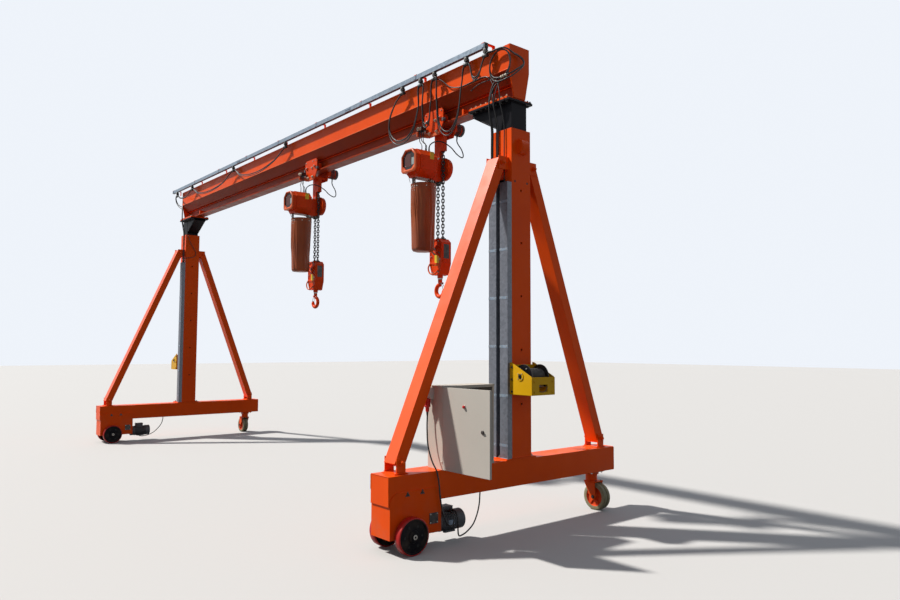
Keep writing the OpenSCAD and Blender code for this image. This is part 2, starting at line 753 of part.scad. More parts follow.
// Outline of the front housing, with its corners cut off
module housing_outline(inset) {
  w = hoist_w/2 - inset;
  h = hoist_h/2 - inset;
  cut = corner_cut - inset*0.59;
  polygon([
    [w, cut - h], [w, h - cut], [w - cut, h], [cut - w, h],
    [-w, h - cut], [-w, cut - h], [cut - w, -h], [w - cut, -h]
  ]);
}
module hoist() {
  y_mid = gearbox_y - gearbox_l;
  z_mid = hoist_z + hoist_h/2;
  front_l = 60;
  front_drop = 46;
  front_in = 6;
  translate([0, y_mid, z_mid]) rotate([90, 0, 0]) {
    linear_extrude(housing_l - front_l + eps) housing_outline(0);
    // The front end stands back from the sides and the underside, with a recess in its cover
    difference() {
      translate([0, 0, housing_l - front_l]) linear_extrude(front_l) intersection() {
        housing_outline(front_in);
        translate([-hoist_w/2, front_drop - hoist_h/2]) square([hoist_w, hoist_h]);
      }
      translate([0, front_drop/2, housing_l - cover_recess]) linear_extrude(cover_recess + 1)
        scale([1, 1 - front_drop/hoist_h]) housing_outline(cover_rim);
    }
  }
  // Case of the chain wheel, cut back on one side where the anchored fall rises
  difference() {
    block([hanger_w/2 + wheel_case_in, gearbox_l - gear_case_l + 2*eps, hoist_h - 60],
      [-hanger_w/2, y_mid - eps, hoist_z]);
    rod_z(chain_bore, chain_top + chain_d + 1.5*seat - hoist_z + 1, [-fall_gap/2, 0, hoist_z - 1]);
  }
  rod_y(gear_case_d, gear_case_l, [0, gearbox_y - gear_case_l, z_mid]);
  rod_y(gear_case_d + 12, rim_t, [0, gearbox_y - gear_case_l + rim_t, z_mid]);
  // Suspension lug under the trolley's hanger
  block([hanger_w/2 + wheel_case_in, hanger_t, 70],
    [-hanger_w/2, -hanger_t/2, hoist_z + hoist_h - 70 - seat]);
}
module near_hoist_body() color(orange) from_near() translate([-near_hoist, 0, 0]) hoist();
module far_hoist_body() color(orange) from_near() translate([-far_hoist, 0, 0]) hoist();

module chain_bag() {
  top = hoist_z - 30;
  difference() {
    rod_z(bag_d, bag_h, [0, -bag_y, top - bag_h]);
    rod_z(bag_d - 16, bag_h, [0, -bag_y, top - bag_h + 8]);
  }
  for (side = [-1, 1])
    block_mid([60, 6, 32 - seat], [0, -bag_y + side*(bag_d/2 - 4), top - 2]);
}
module near_chain_bag() color([0.63, 0.27, 0.1]) from_near() translate([-near_hoist, 0, 0]) chain_bag();
module far_chain_bag() color([0.63, 0.27, 0.1]) from_near() translate([-far_hoist, 0, 0]) chain_bag();

// One round-wire link, its long axis upright
module chain_link() {
  bend = chain_d*0.5 + chain_d*0.68;
  straight = chain_pitch + chain_d - 2*bend + seat;
  for (end = [-1, 1]) translate([0, 0, end*straight/2]) rotate([90, end > 0 ? 0 : 180, 0])
    rotate_extrude(angle = 180) translate([bend, 0]) circle(d = chain_d, $fn = 24);
  for (side = [-1, 1])
    translate([side*bend, 0, -straight/2]) cylinder(d = chain_d, h = straight, $fn = 24);
}
module load_chain() for (side = [-1, 1]) for (i = [side > 0 ? -anchor_links : 0:chain_links - 1])
  translate([side*fall_gap/2, 0, chain_top - (i + 0.5)*chain_pitch])
    rotate([0, 0, 45 + abs(i % 2)*90]) chain_link();
module near_load_chain() color(black) from_near() translate([-near_hoist, 0, 0]) load_chain();
module far_load_chain() color(black) from_near() translate([-far_hoist, 0, 0]) load_chain();

chain_low = chain_top - chain_links*chain_pitch;
block_top = chain_low + 12;
block_z = block_top - block_h;
hook_bore = 46;
module hook_block() {
  difference() {
    translate([0, block_t/2, 0]) rotate([90, 0, 0]) linear_extrude(block_t) polygon([
      [-block_w/2, block_top - 40], [-block_w/2 + 40, block_top],
      [block_w/2 - 40, block_top], [block_w/2, block_top - 40],
      [block_w/2, block_z + 120], [60, block_z], [-60, block_z], [-block_w/2, block_z + 120]
    ]);
    rod_z(hook_bore, 60, [0, 0, block_z - 10]);
    chain_bores(chain_low - chain_d - 1.5*seat, block_top + 1);
  }
}
module near_hook_block() color(orange) from_near() translate([-near_hoist, 0, 0]) hook_block();
module far_hook_block() color(orange) from_near() translate([-far_hoist, 0, 0]) hook_block();

// Swivel hook: shank, collar and bowl
bowl_r = hook_in/2 + hook_d/2;
hook_sweep = 262;
hook_point = 26;
bowl_z = block_z - 100 - bowl_r;
module hook() {
  rod_z(hook_bore - 2*seat, 50, [0, 0, block_z - 4]);
  rod_z(60, 30, [0, 0, block_z - 30 - seat]);
  rod_z(hook_d - 4, 100, [0, 0, bowl_z + bowl_r + 2]);
  translate([0, 0, bowl_z]) rotate([90, 0, 0]) rotate([0, 0, 90])
    rotate_extrude(angle = hook_sweep) translate([bowl_r, 0]) circle(d = hook_d);
  // Blunt point of the hook
  translate([0, 0, bowl_z]) rotate([90, 0, 0]) rotate([0, 0, 90 + hook_sweep])
    translate([bowl_r, -1, 0]) rotate([-90, 0, 0])
      cylinder(d1 = hook_d - 2, d2 = hook_d*0.55, h = hook_point);
}
module near_hook() color(orange) from_near() translate([-near_hoist, 0, 0]) hook();
module far_hook() color(orange) from_near() translate([-far_hoist, 0, 0])
  rotate([0, 0, far_hook_turn]) hook();

cab_z = base_top;
hinge_d = 8;
hinge_h = 60;
hinge_zs = [cab_z + 70, cab_z + cab_h - 70 - hinge_h];
panel_back = 20;
module control_cabinet() color([0.78, 0.74, 0.68]) at_near() {
  difference() {
    block([cab_d, cab_w, cab_h], [cab_front - cab_d, -cab_y, cab_z]);
    block([cab_d, cab_w - 2*cab_t, cab_h - 2*cab_t],
      [cab_front - cab_d + cab_t, -cab_y + cab_t, cab_z + cab_t]);
  }
  // Hinge leaves with their pins
  for (z = hinge_zs) {
    block([hinge_x - cab_front + 24, 12, 4], [cab_front - 20, -cab_y - 12, z - 4 - seat]);
    rod_z(hinge_d, hinge_h + 4, [hinge_x, hinge_y, z - 4 - seat + eps]);
  }
}
module cabinet_panel() color([0.8, 0.8, 0.78]) at_near() {
  block([3, cab_w - 60, cab_h - 80], [cab_front - cab_d + panel_back, -cab_y + 30, cab_z + 40]);
  for (y = [60, cab_w - 60]) for (z = [70, cab_h - 70])
    rod_x(14, panel_back - cab_t + eps, [cab_front - cab_d + cab_t, -cab_y + y, cab_z + z]);
}
module cabinet_door() color([0.78, 0.74, 0.68]) at_near()
  translate([hinge_x, hinge_y, 0]) rotate([0, 0, -door_open]) {
    difference() {
      block([door_t, door_w, cab_h - 10], [-door_t/2, door_start, cab_z + 5]);
      block([door_t, door_w - 2*cab_t, cab_h - 10 - 2*cab_t],
        [-door_t/2 - cab_t, door_start + cab_t, cab_z + 5 + cab_t]);
    }
    for (z = hinge_zs) difference() {
      union() {
        rod_z(door_start*2 - 2, hinge_h, [0, 0, z]);
        block([4, door_start + 2, hinge_h], [-2, 0, z]);
      }
      rod_z(hinge_d + 2*seat, hinge_h + 2, [0, 0, z - 1]);
    }
  }
plug_x = cab_front - cab_d/2 - 55;
plug_z = cab_z + cab_h - 105;
plug_out = 44;
plug_l = 75;
module power_inlet() color([0.8, 0.1, 0.08]) at_near() {
  block([72, 46, 90], [plug_x - 36, -cab_y - 46, plug_z]);
  // Angled plug that hangs from the inlet
  rod_z(56, plug_l, [plug_x, -cab_y - plug_out, plug_z - plug_l + eps]);
  rod_z(36, 40, [plug_x, -cab_y - plug_out, plug_z - plug_l - 40 + 2*eps]);
}

// Cables: a tube swept along a smooth curve through hand-chosen points
function unit(v) = v/norm(v);
function way_at(route, i) = unit(route[min(i + 1, len(route) - 1)] - route[max(i - 1, 0)]);
function along(route, i, t) =
  let (a = route[i], b = route[i + 1], l = norm(b - a), m = way_at(route, i)*l, n = way_at(route, i + 1)*l)
  (2*t*t*t - 3*t*t + 1)*a + (t*t*t - 2*t*t + t)*m + (3*t*t - 2*t*t*t)*b + (t*t*t - t*t)*n;
function curve(route, steps) = [
  for (i = [0:len(route) - 2]) for (k = [0:steps - 1]) along(route, i, k/steps),
  route[len(route) - 1]
];
// A frame carried from ring to ring without twist
function carried(line, i, last) = let (w = way_at(line, i)) unit(last - (last*w)*w);
function frames(line, i, last) =
  i == len(line) ? [] : let (n = carried(line, i, last)) concat([n], frames(line, i + 1, n));
module cable(route, d, steps) {
  line = curve(route, steps);
  sides = 8;
  across = frames(line, 0, unit(cross(way_at(line, 0), [0.31, 0.83, 0.47])));
  points = [for (i = [0:len(line) - 1]) let (n = across[i], b = cross(way_at(line, i), n))
    for (k = [0:sides - 1]) line[i] + d/2*(cos(k*360/sides)*n + sin(k*360/sides)*b)];
  last = (len(line) - 1)*sides;
  faces = concat(
    [[for (k = [0:sides - 1]) k]],
    [for (i = [0:len(line) - 2]) for (k = [0:sides - 1])
      [i*sides + k, (i + 1)*sides + k, (i + 1)*sides + (k + 1) % sides, i*sides + (k + 1) % sides]],
    [[for (k = [sides - 1:-1:0]) last + k]]);
  polyhedron(points = points, faces = faces);
}

// Routes from the near mast axis
coil_r = 135;
coil_at = [10, -156, 4350];
coil_turns = 1;
near_festoon_route = concat([
  [-105, -150, 1600], [-105, -150, 3560], [-105, -150, 3740], [-112, -176, 3880], [-112, -192, 4000],
  [-94, -182, 4110], [-72, -171, 4172], [-36, -159, 4208]
], [
  for (i = [0:12*coil_turns]) let (a = -95 + i*30)
    coil_at + [coil_r*cos(a), -i*festoon_d*1.15/12, coil_r*sin(a)]
], [
  [50, -177, 4211], [105, -174, 4214], [150, -148, 4230], [172, -100, 4266], [176, -45, 4308],
  [166, 2, 4354], [146, 4, 4400], [134, -36, 4426], [134, -84, 4432], [140, -128, 4436],
  [134, -164, 4450], [104, -185, 4472], [50, -188, 4486], [-60, -189, 4490], [-160, -192, 4485.7],
  [-300, -200, 4300], [-440, -192, 4485.7], [-500, -204, 4300], [-560, -212, 3980], [-690, -214, 3850],
  [-840, -212, 3960], [-902, -206, 4280], [-950, -200, 4485.7], [-998, -206, 4240], [-1070, -208, 4020],
  [-1145, -204, 4240], [-1190, -192, 4485.7], [-1215, -206, 4240], [-1320, -220, 3990],
  [-1520, -226, 3930], [-1700, -220, 4040], [-1745, -210, 4230], [-1640, -200, 4400],
  [-1520, -192, 4485.7]
]);
near_head_route = [
  [-45, -138, 1650], [-45, -138, 3560], [-45, -138, 3740], [-52, -160, 3860], [-60, -186, 3960],
  [-66, -188, 4040], [-95, -152, 4160], [-145, -145, 4245], [-230, -138.5, 4300], [-400, -138, 4302],
  [-600, -138.5, 4302], [-740, -152, 4340], [-860, -168, 4436], [-950, -181, 4487.2]
];
far_festoon_route = [
  [-8395, -150, 1600], [-8395, -150, 3560], [-8395, -150, 3740], [-8400, -176, 3880],
  [-8410, -192, 4000], [-8450, -180, 4130], [-8530, -158, 4240], [-8660, -164, 4290],
  [-8770, -176, 4370], [-8790, -188, 4440], [-8755, -191, 4482], [-8700, -192, 4485.7],
  [-8600, -198, 4450], [-8500, -206, 4410], [-8300, -208, 4390], [-8100, -204, 4420],
  [-7940, -192, 4485.7], [-7600, -206, 4360], [-7050, -210, 4310], [-6480, -206, 4360],
  [-6130, -192, 4485.7], [-5800, -206, 4350], [-5230, -210, 4285], [-4650, -206, 4350],
  [-4330, -192, 4485.7]
];
// Routes from a hoist's own middle
hoist_route = [
  [50, -200, 3712.3], [50, -200, 3745], [56, -190, 3785], [80, -148, 3820], [118, -75, 3824],
  [148, 20, 3775], [152, 100, 3715], [140, 180, 3695], [104, 232, 3735], [56, 246, 3815], [0, 232, 3905],
  [0, 230, 3979.7]
];
module near_festoon() color(black) from_near() cable(near_festoon_route, festoon_d, 1);
module near_head_cable() color(black) from_near() cable(near_head_route, lead_d, 3);
module far_festoon() color(black) from_near() cable(far_festoon_route, festoon_d, 3);
module near_hoist_cable() color(black) from_near() translate([-near_hoist, 0, 0])
  cable(hoist_route, lead_d, 3);
module far_hoist_cable() color(black) from_near() translate([-far_hoist, 0, 0])
  cable(hoist_route, lead_d, 3);

power_route = [
  [-30, -989, 1099.7], [-30, -989, 1060], [-24, -995, 960], [4, -1006, 820], [70, -1015, 700],
  [134, -1016, 625], [156, -1010, 540], [158, -998, 430], [159, -978, 320], [161, -945, 225],
  [163, -905, 172], [164, -868, 168], [162, -848, 205], [146, -845, 248], [112, -845, 266],
  [75.3, -845, 267]
];
motor_route = [
  [0, -408, 389.7], [0, -409, 345], [14, -430, 260], [40, -480, 180], [66, -550, 110], [88, -640, 66],
  [110, -720, 52], [132, -770, 62], [148, -793, 112], [154, -797, 180], [143, -797, 238],
  [112, -797, 265], [75.3, -797, 267]
];
// Cable that hangs on the far collar and runs down into its duct
collar_route = [
  [-125.3, -95, 3690], [-143, -95, 3689], [-160, -91, 3668], [-162, -80, 3630], [-152, -40, 3545],
  [-141, 20, 3462], [-137, 58, 3390], [-137, 40, 3325], [-137, -30, 3292], [-138, -90, 3284],
  [-140, -142, 3268], [-122, -169, 3238], [-88, -171, 3200], [-68, -171, 3150], [-66, -171, 3050],
  [-66, -171, 1650]
];
collar_cable_d = 10;
module power_lead() color(black) at_near() cable(power_route, lead_d, 3);
module motor_cable() color(black) at_near() cable(motor_route, lead_d, 3);
module far_motor_cable() color(black) at_far() cable(motor_route, lead_d, 3);
module far_collar_cable() color(black) at_far() cable(collar_route, collar_cable_d, 3);

girder_box();
runway_beam();
girder_plates();
near_inner_mast();
far_inner_mast();
cable_rail();
rail_arms();
rail_carriers();
trolley_stops();
near_base_beam();
near_drive_box();
near_drive_motor();
near_drive_wheels();
near_outer_mast();
near_braces();
near_ducts();
near_winch_frame();
near_winch_drum();
near_caster_fork();
near_caster_wheel();
far_base_beam();
far_drive_box();
far_drive_motor();
far_drive_wheels();
far_outer_mast();
far_braces();
far_duct();
far_winch_frame();
far_winch_drum();
far_caster_fork();
far_caster_wheel();
near_trolley();
near_hoist_body();
near_chain_bag();
near_load_chain();
near_hook_block();
near_hook();
far_trolley();
far_hoist_body();
far_chain_bag();
far_load_chain();
far_hook_block();
far_hook();
control_cabinet();
cabinet_panel();
cabinet_door();
power_inlet();
near_festoon();
near_head_cable();
far_festoon();
near_hoist_cable();
far_hoist_cable();
power_lead();
motor_cable();
far_motor_cable();
far_collar_cable();
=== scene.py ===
import math
import random
import bmesh
import bpy
from mathutils import Matrix, Vector


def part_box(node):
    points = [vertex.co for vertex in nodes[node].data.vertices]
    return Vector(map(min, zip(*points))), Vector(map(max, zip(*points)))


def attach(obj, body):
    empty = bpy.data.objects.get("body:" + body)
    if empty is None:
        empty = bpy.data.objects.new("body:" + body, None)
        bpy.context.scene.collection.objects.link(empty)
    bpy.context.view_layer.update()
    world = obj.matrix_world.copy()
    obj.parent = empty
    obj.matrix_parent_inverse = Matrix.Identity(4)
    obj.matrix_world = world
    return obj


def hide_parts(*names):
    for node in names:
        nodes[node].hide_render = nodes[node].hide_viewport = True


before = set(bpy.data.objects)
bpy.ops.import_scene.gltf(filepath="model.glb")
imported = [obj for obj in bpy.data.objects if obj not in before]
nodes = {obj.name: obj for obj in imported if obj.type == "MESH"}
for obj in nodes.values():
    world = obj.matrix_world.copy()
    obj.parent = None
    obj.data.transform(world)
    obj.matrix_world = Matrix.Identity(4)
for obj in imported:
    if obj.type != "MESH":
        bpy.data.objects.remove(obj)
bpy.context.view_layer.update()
dice = random.Random(11)


def middle(nodeName):
    low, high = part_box(nodeName)
    return (low + high) / 2


nearX = middle("near_base_beam").x
farX = middle("far_base_beam").x
midY = middle("near_inner_mast").y


def fromNear(x, y, z):
    return Vector((nearX + x / 1000, midY + y / 1000, z / 1000))


def fromFar(x, y, z):
    return Vector((farX - x / 1000, midY + y / 1000, z / 1000))


sides = {"near": fromNear, "far": fromFar}

# Camera at the photograph's place and angle
cameraValues = {"x": 4804, "y": -4787, "z": 1651, "yaw": 140.07, "pitch": 3.79, "roll": 0.2, "lens": 28.55}


def makeCamera(v):
    yaw, pitch, roll = (math.radians(v[k]) for k in ("yaw", "pitch", "roll"))
    ahead = Vector((math.cos(yaw) * math.cos(pitch), math.sin(yaw) * math.cos(pitch), math.sin(pitch)))
    right = Vector((math.sin(yaw), -math.cos(yaw), 0))
    up = right.cross(ahead)
    tiltedRight = right * math.cos(roll) + up * math.sin(roll)
    tiltedUp = up * math.cos(roll) - right * math.sin(roll)
    data = bpy.data.cameras.new("camera")
    data.lens = v["lens"]
    data.sensor_width = 36
    data.clip_end = 200
    camera = bpy.data.objects.new("camera", data)
    bpy.context.scene.collection.objects.link(camera)
    axes = Matrix((tiltedRight, tiltedUp, -ahead)).transposed().to_4x4()
    camera.matrix_world = Matrix.Translation(fromNear(v["x"], v["y"], v["z"])) @ axes
    bpy.context.scene.camera = camera


makeCamera(cameraValues)
print("camera made", nearX, farX, midY)

stageValues = {"floorSeen": (0.56, 0.55, 0.54), "floorLit": (0.09, 0.086, 0.082), "skySeen": (0.86, 0.90,
        0.96),
               "skyLit": (0.80, 0.88, 1.0), "skyStrength": 0.29, "sun": 4.9, "sunAngle": 3.0, "half": 60,
               "sunWay": (0.517, 0.429, -0.739), "sunColour": (1.0, 0.97, 0.92)}


def place(tree, kind, inputs=None, **settings):
    made = tree.nodes.new(kind)
    for key, value in settings.items():
        setattr(made, key, value)
    for key, value in (inputs or {}).items():
        if isinstance(value, bpy.types.NodeSocket):
            tree.links.new(value, made.inputs[key])
        else:
            made.inputs[key].default_value = value
    return made


def math2(tree, operation, a, b):
    made = place(tree, "ShaderNodeMath", operation=operation)
    for i, value in enumerate((a, b)):
        if isinstance(value, bpy.types.NodeSocket):
            tree.links.new(value, made.inputs[i])
        else:
            made.inputs[i].default_value = value
    return made.outputs[0]


def mixColour(tree, share, a, b):
    made = place(tree, "ShaderNodeMix", data_type="RGBA")
    for key, value in ((0, share), (6, a), (7, b)):
        if isinstance(value, bpy.types.NodeSocket):
            tree.links.new(value, made.inputs[key])
        elif key == 0:
            made.inputs[key].default_value = value
        else:
            made.inputs[key].default_value = (*value, 1)
    return made.outputs[2]


def seenRays(tree):
    path = place(tree, "ShaderNodeLightPath")
    seen = math2(tree, "MAXIMUM", path.outputs["Is Camera Ray"], path.outputs["Is Glossy Ray"])
    return math2(tree, "MAXIMUM", seen, path.outputs["Is Transmission Ray"])


def makeStage(v):
    h = v["half"]
    mesh = bpy.data.meshes.new("floor")
    mesh.from_pydata([(-h, -h, 0), (h, -h, 0), (h, h, 0), (-h, h, 0)], [], [(0, 1, 2, 3)])
    floor = bpy.data.objects.new("floor", mesh)
    bpy.context.scene.collection.objects.link(floor)
    finish = bpy.data.materials.new("floorFinish")
    finish.use_nodes = True
    tree = finish.node_tree
    shader = tree.nodes["Principled BSDF"]
    tree.links.new(mixColour(tree, seenRays(tree), v["floorLit"], v["floorSeen"]),
            shader.inputs["Base Color"])
    shader.inputs["Roughness"].default_value = 0.85
    mesh.materials.append(finish)
    world = bpy.data.worlds.new("studio")
    bpy.context.scene.world = world
    world.use_nodes = True
    tree = world.node_tree
    background = tree.nodes["Background"]
    seen = seenRays(tree)
    tree.links.new(mixColour(tree, seen, v["skyLit"], v["skySeen"]), background.inputs["Color"])
    strength = place(tree, "ShaderNodeMapRange", {"Value": seen, "To Min": v["skyStrength"], "To Max": 1.0})
    tree.links.new(strength.outputs["Result"], background.inputs["Strength"])
    sun = bpy.data.lights.new("keyLight", "SUN")
    sun.energy = v["sun"]
    sun.angle = math.radians(v["sunAngle"])
    sun.color = v["sunColour"]
    lamp = bpy.data.objects.new("keyLight", sun)
    bpy.context.scene.collection.objects.link(lamp)
    lamp.rotation_euler = Vector(v["sunWay"]).to_track_quat("-Z", "Y").to_euler()
    bpy.context.scene.view_settings.view_transform = "Standard"


makeStage(stageValues)

# Materials


def newMaterial(name):
    made = bpy.data.materials.new(name)
    made.use_nodes = True
    tree = made.node_tree
    return made, tree, tree.nodes["Principled BSDF"]


def objectCoords(tree, scale=(1, 1, 1)):
    coords = place(tree, "ShaderNodeTexCoord")
    if scale == (1, 1, 1):
        return coords.outputs["Object"]
    mapping = place(tree, "ShaderNodeMapping", {"Vector": coords.outputs["Object"], "Scale": scale})
    return mapping.outputs["Vector"]


def noiseAt(tree, scale, detail=4.0, stretch=(1, 1, 1), roughness=0.55):
    made = place(tree, "ShaderNodeTexNoise", {"Vector": objectCoords(tree, stretch), "Scale": scale,
                                              "Detail": detail, "Roughness": roughness})
    return made.outputs["Fac"]


def band(tree, value, low, high, lowOut=0.0, highOut=1.0):
    made = place(tree, "ShaderNodeMapRange", {"Value": value, "From Min": low, "From Max": high,
                                              "To Min": lowOut, "To Max": highOut}, clamp=True)
    return made.outputs["Result"]


def bumpFrom(tree, height, strength, distance, under=None):
    made = place(tree, "ShaderNodeBump", {"Height": height, "Strength": strength, "Distance": distance})
    if under is not None:
        tree.links.new(under, made.inputs["Normal"])
    return made.outputs["Normal"]


def wornEdges(tree, radius, low=0.02, high=0.16):
    bevel = place(tree, "ShaderNodeBevel", {"Radius": radius}, samples=4)
    geometry = place(tree, "ShaderNodeNewGeometry")
    dot = place(tree, "ShaderNodeVectorMath", operation="DOT_PRODUCT")
    tree.links.new(bevel.outputs["Normal"], dot.inputs[0])
    tree.links.new(geometry.outputs["Normal"], dot.inputs[1])
    turn = math2(tree, "SUBTRACT", 1.0, dot.outputs["Value"])
    edge = band(tree, turn, low, high)
    patches = band(tree, noiseAt(tree, 14.0, 6.0), 0.5, 0.62)
    return math2(tree, "MULTIPLY", edge, patches), bevel.outputs["Normal"]


def facingUp(tree):
    geometry = place(tree, "ShaderNodeNewGeometry")
    split = place(tree, "ShaderNodeSeparateXYZ", {"Vector": geometry.outputs["Normal"]})
    return band(tree, split.outputs["Z"], 0.55, 0.95)


def heightOf(tree):
    coords = place(tree, "ShaderNodeTexCoord")
    split = place(tree, "ShaderNodeSeparateXYZ", {"Vector": coords.outputs["Object"]})
    return split.outputs["Z"]


def paint(name, v):
    made, tree, shader = newMaterial(name)
    clouds = band(tree, noiseAt(tree, v.get("cloudScale", 1.3), 5.0), 0.3, 0.7)
    colour = mixColour(tree, clouds, v["colour"], v["shade"])
    streaks = band(tree, noiseAt(tree, 9.0, 4.0, (1, 1, 0.07)), 0.56, 0.8, 0.0, v.get("streaks", 0.1))
    colour = mixColour(tree, streaks, colour, v["grime"])
    fine = band(tree, noiseAt(tree, 55.0, 6.0), 0.62, 0.8, 0.0, v.get("specks", 0.12))
    colour = mixColour(tree, fine, colour, v["grime"])
    dust = math2(tree, "MULTIPLY", facingUp(tree), band(tree, noiseAt(tree, 3.1, 7.0), 0.35, 0.8))
    dustShare = math2(tree, "MULTIPLY", dust, v.get("dust", 0.12))
    colour = mixColour(tree, dustShare, colour, v.get("dustColour", (0.50, 0.30, 0.17)))
    low = band(tree, heightOf(tree), 0.02, 0.5, v.get("splash", 0.3), 0.0)
    splash = math2(tree, "MULTIPLY", low, band(tree, noiseAt(tree, 6.0, 7.0), 0.45, 0.7))
    colour = mixColour(tree, splash, colour, (0.26, 0.19, 0.14))
    worn, rounded = wornEdges(tree, v.get("edge", 0.004))
    wornColour = mixColour(tree, band(tree, noiseAt(tree, 40.0), 0.4, 0.6), v["bare"], v["rust"])
    colour = mixColour(tree, math2(tree, "MULTIPLY", worn, v.get("wear", 0.4)), colour, wornColour)
    tree.links.new(colour, shader.inputs["Base Color"])
    rough = band(tree, noiseAt(tree, 7.0, 5.0), 0.3, 0.7, v["rough"][0], v["rough"][1])
    rough = math2(tree, "ADD", rough, math2(tree, "MULTIPLY", dust, 0.2))
    tree.links.new(rough, shader.inputs["Roughness"])
    peel = bumpFrom(tree, noiseAt(tree, 260.0, 2.0), v.get("peel", 0.05), 0.001, rounded)
    waves = bumpFrom(tree, noiseAt(tree, 5.0, 2.0), v.get("waves", 0.06), 0.01, peel)
    tree.links.new(waves, shader.inputs["Normal"])
    shader.inputs["Metallic"].default_value = v.get("metallic", 0.0)
    shader.inputs["Specular IOR Level"].default_value = v.get("gloss", 0.11)
    return made


orangePaint = {"colour": (0.92, 0.096, 0.001), "shade": (0.82, 0.074, 0.001), "grime": (0.34, 0.04, 0.008),
               "bare": (0.20, 0.05, 0.02), "rust": (0.16, 0.045, 0.02), "rough": (0.3, 0.42)}
hoistPaint = {"colour": (0.80, 0.070, 0.004), "shade": (0.68, 0.050, 0.003), "grime": (0.16, 0.03, 0.01),
              "bare": (0.12, 0.05, 0.03), "rust": (0.10, 0.035, 0.02), "rough": (0.28, 0.42), "streaks": 0.2,
              "specks": 0.2, "cloudScale": 4.0}
blackPaint = {"colour": (0.005, 0.005, 0.007), "shade": (0.008, 0.008, 0.011), "grime": (0.03, 0.027, 0.025),
              "bare": (0.09, 0.08, 0.075), "rust": (0.10, 0.045, 0.025), "rough": (0.3, 0.45), "dust": 0.15,
              "dustColour": (0.12, 0.11, 0.10), "gloss": 0.07}
yellowPaint = {"colour": (0.76, 0.44, 0.008), "shade": (0.66, 0.36, 0.006), "grime": (0.26, 0.15, 0.03),
               "bare": (0.15, 0.12, 0.08), "rust": (0.16, 0.06, 0.02), "rough": (0.3, 0.44)}
cabinetPaint = {"colour": (0.58, 0.53, 0.46), "shade": (0.52, 0.47, 0.41), "grime": (0.24, 0.21, 0.17),
                "bare": (0.35, 0.33, 0.3), "rust": (0.2, 0.12, 0.07), "rough": (0.42, 0.56), "peel": 0.3}
doorPaint = dict(cabinetPaint, colour=(0.56, 0.525, 0.47), shade=(0.50, 0.465, 0.415))
motorPaint = {"colour": (0.15, 0.155, 0.165), "shade": (0.11, 0.115, 0.125), "grime": (0.035, 0.03, 0.027),
              "bare": (0.2, 0.2, 0.2), "rust": (0.12, 0.06, 0.035), "rough": (0.38, 0.55), "specks": 0.3}
weldPaint = dict(orangePaint, rough=(0.35, 0.5), wear=0.9, bare=(0.5, 0.3, 0.18), shade=(0.62, 0.20, 0.09),
                 cloudScale=9.0)
coverPaint = dict(hoistPaint, colour=(0.72, 0.15, 0.055), shade=(0.64, 0.12, 0.04))
sunnyPaint = dict(orangePaint, gloss=0.45, rough=(0.28, 0.36))
# Darker orange for the runway beam and the girder's downward faces: painted shade under the girder, with some grime
# streaks
underShadePaint = dict(orangePaint, colour=(0.38, 0.040, 0.003), shade=(0.27, 0.028, 0.003), gloss=0.06,
        streaks=0.3)
paints = {"underShade": underShadePaint, "sunny": sunnyPaint, "orange": orangePaint, "hoistOrange": hoistPaint,
        "black": blackPaint, "yellow": yellowPaint,
          "cabinet": cabinetPaint, "door": doorPaint, "motor": motorPaint, "weldBead": weldPaint,
          "coverOrange": coverPaint}
finishes = {name: paint(name, values) for name, values in paints.items()}


def galvanised(name, light, dark, v):
    made, tree, shader = newMaterial(name)
    cells = place(tree, "ShaderNodeTexVoronoi", {"Vector": objectCoords(tree), "Scale": 45.0})
    split = place(tree, "ShaderNodeSeparateColor", {"Color": cells.outputs["Color"]})
    flakes = split.outputs[0]
    colour = mixColour(tree, flakes, dark, light)
    stain = band(tree, noiseAt(tree, 5.0, 6.0, (1, 1, 0.15)), 0.52, 0.78, 0.0, v["stain"])
    colour = mixColour(tree, stain, colour, (0.18, 0.18, 0.18))
    tree.links.new(colour, shader.inputs["Base Color"])
    tree.links.new(band(tree, flakes, 0.0, 1.0, v["rough"][0], v["rough"][1]), shader.inputs["Roughness"])
    shader.inputs["Metallic"].default_value = v["metallic"]
    tree.links.new(bumpFrom(tree, noiseAt(tree, 30.0, 3.0), 0.05, 0.002), shader.inputs["Normal"])
    return made


zincValues = {"stain": 0.25, "rough": (0.38, 0.48), "metallic": 0.25}


def softFinish(name, colour, shade, rough, dirt=0.3, gloss=0.3):
    made, tree, shader = newMaterial(name)
    mixed = mixColour(tree, band(tree, noiseAt(tree, 18.0, 6.0), 0.35, 0.68), colour, shade)
    grime = tuple(0.35 * c + 0.02 for c in shade)
    mixed = mixColour(tree, band(tree, noiseAt(tree, 7.0, 6.0), 0.5, 0.7, 0.0, dirt), mixed, grime)
    tree.links.new(mixed, shader.inputs["Base Color"])
    tree.links.new(band(tree, noiseAt(tree, 30.0), 0.3, 0.7, rough - 0.08, rough + 0.1),
            shader.inputs["Roughness"])
    tree.links.new(bumpFrom(tree, noiseAt(tree, 90.0, 4.0), 0.15, 0.001), shader.inputs["Normal"])
    shader.inputs["Specular IOR Level"].default_value = gloss
    return made


def steelFinish(name, colour, shade, rough, metallic=0.9, rust=0.12):
    made, tree, shader = newMaterial(name)
    mixed = mixColour(tree, band(tree, noiseAt(tree, 25.0, 6.0), 0.35, 0.65), colour, shade)
    mixed = mixColour(tree, band(tree, noiseAt(tree, 12.0, 7.0), 0.55, 0.7, 0.0, rust), mixed, (0.2, 0.08,
            0.035))
    tree.links.new(mixed, shader.inputs["Base Color"])
    tree.links.new(band(tree, noiseAt(tree, 60.0), 0.3, 0.7, rough - 0.08, rough + 0.12),
            shader.inputs["Roughness"])
    shader.inputs["Metallic"].default_value = metallic
    tree.links.new(bumpFrom(tree, noiseAt(tree, 150.0, 3.0), 0.08, 0.001), shader.inputs["Normal"])
    return made


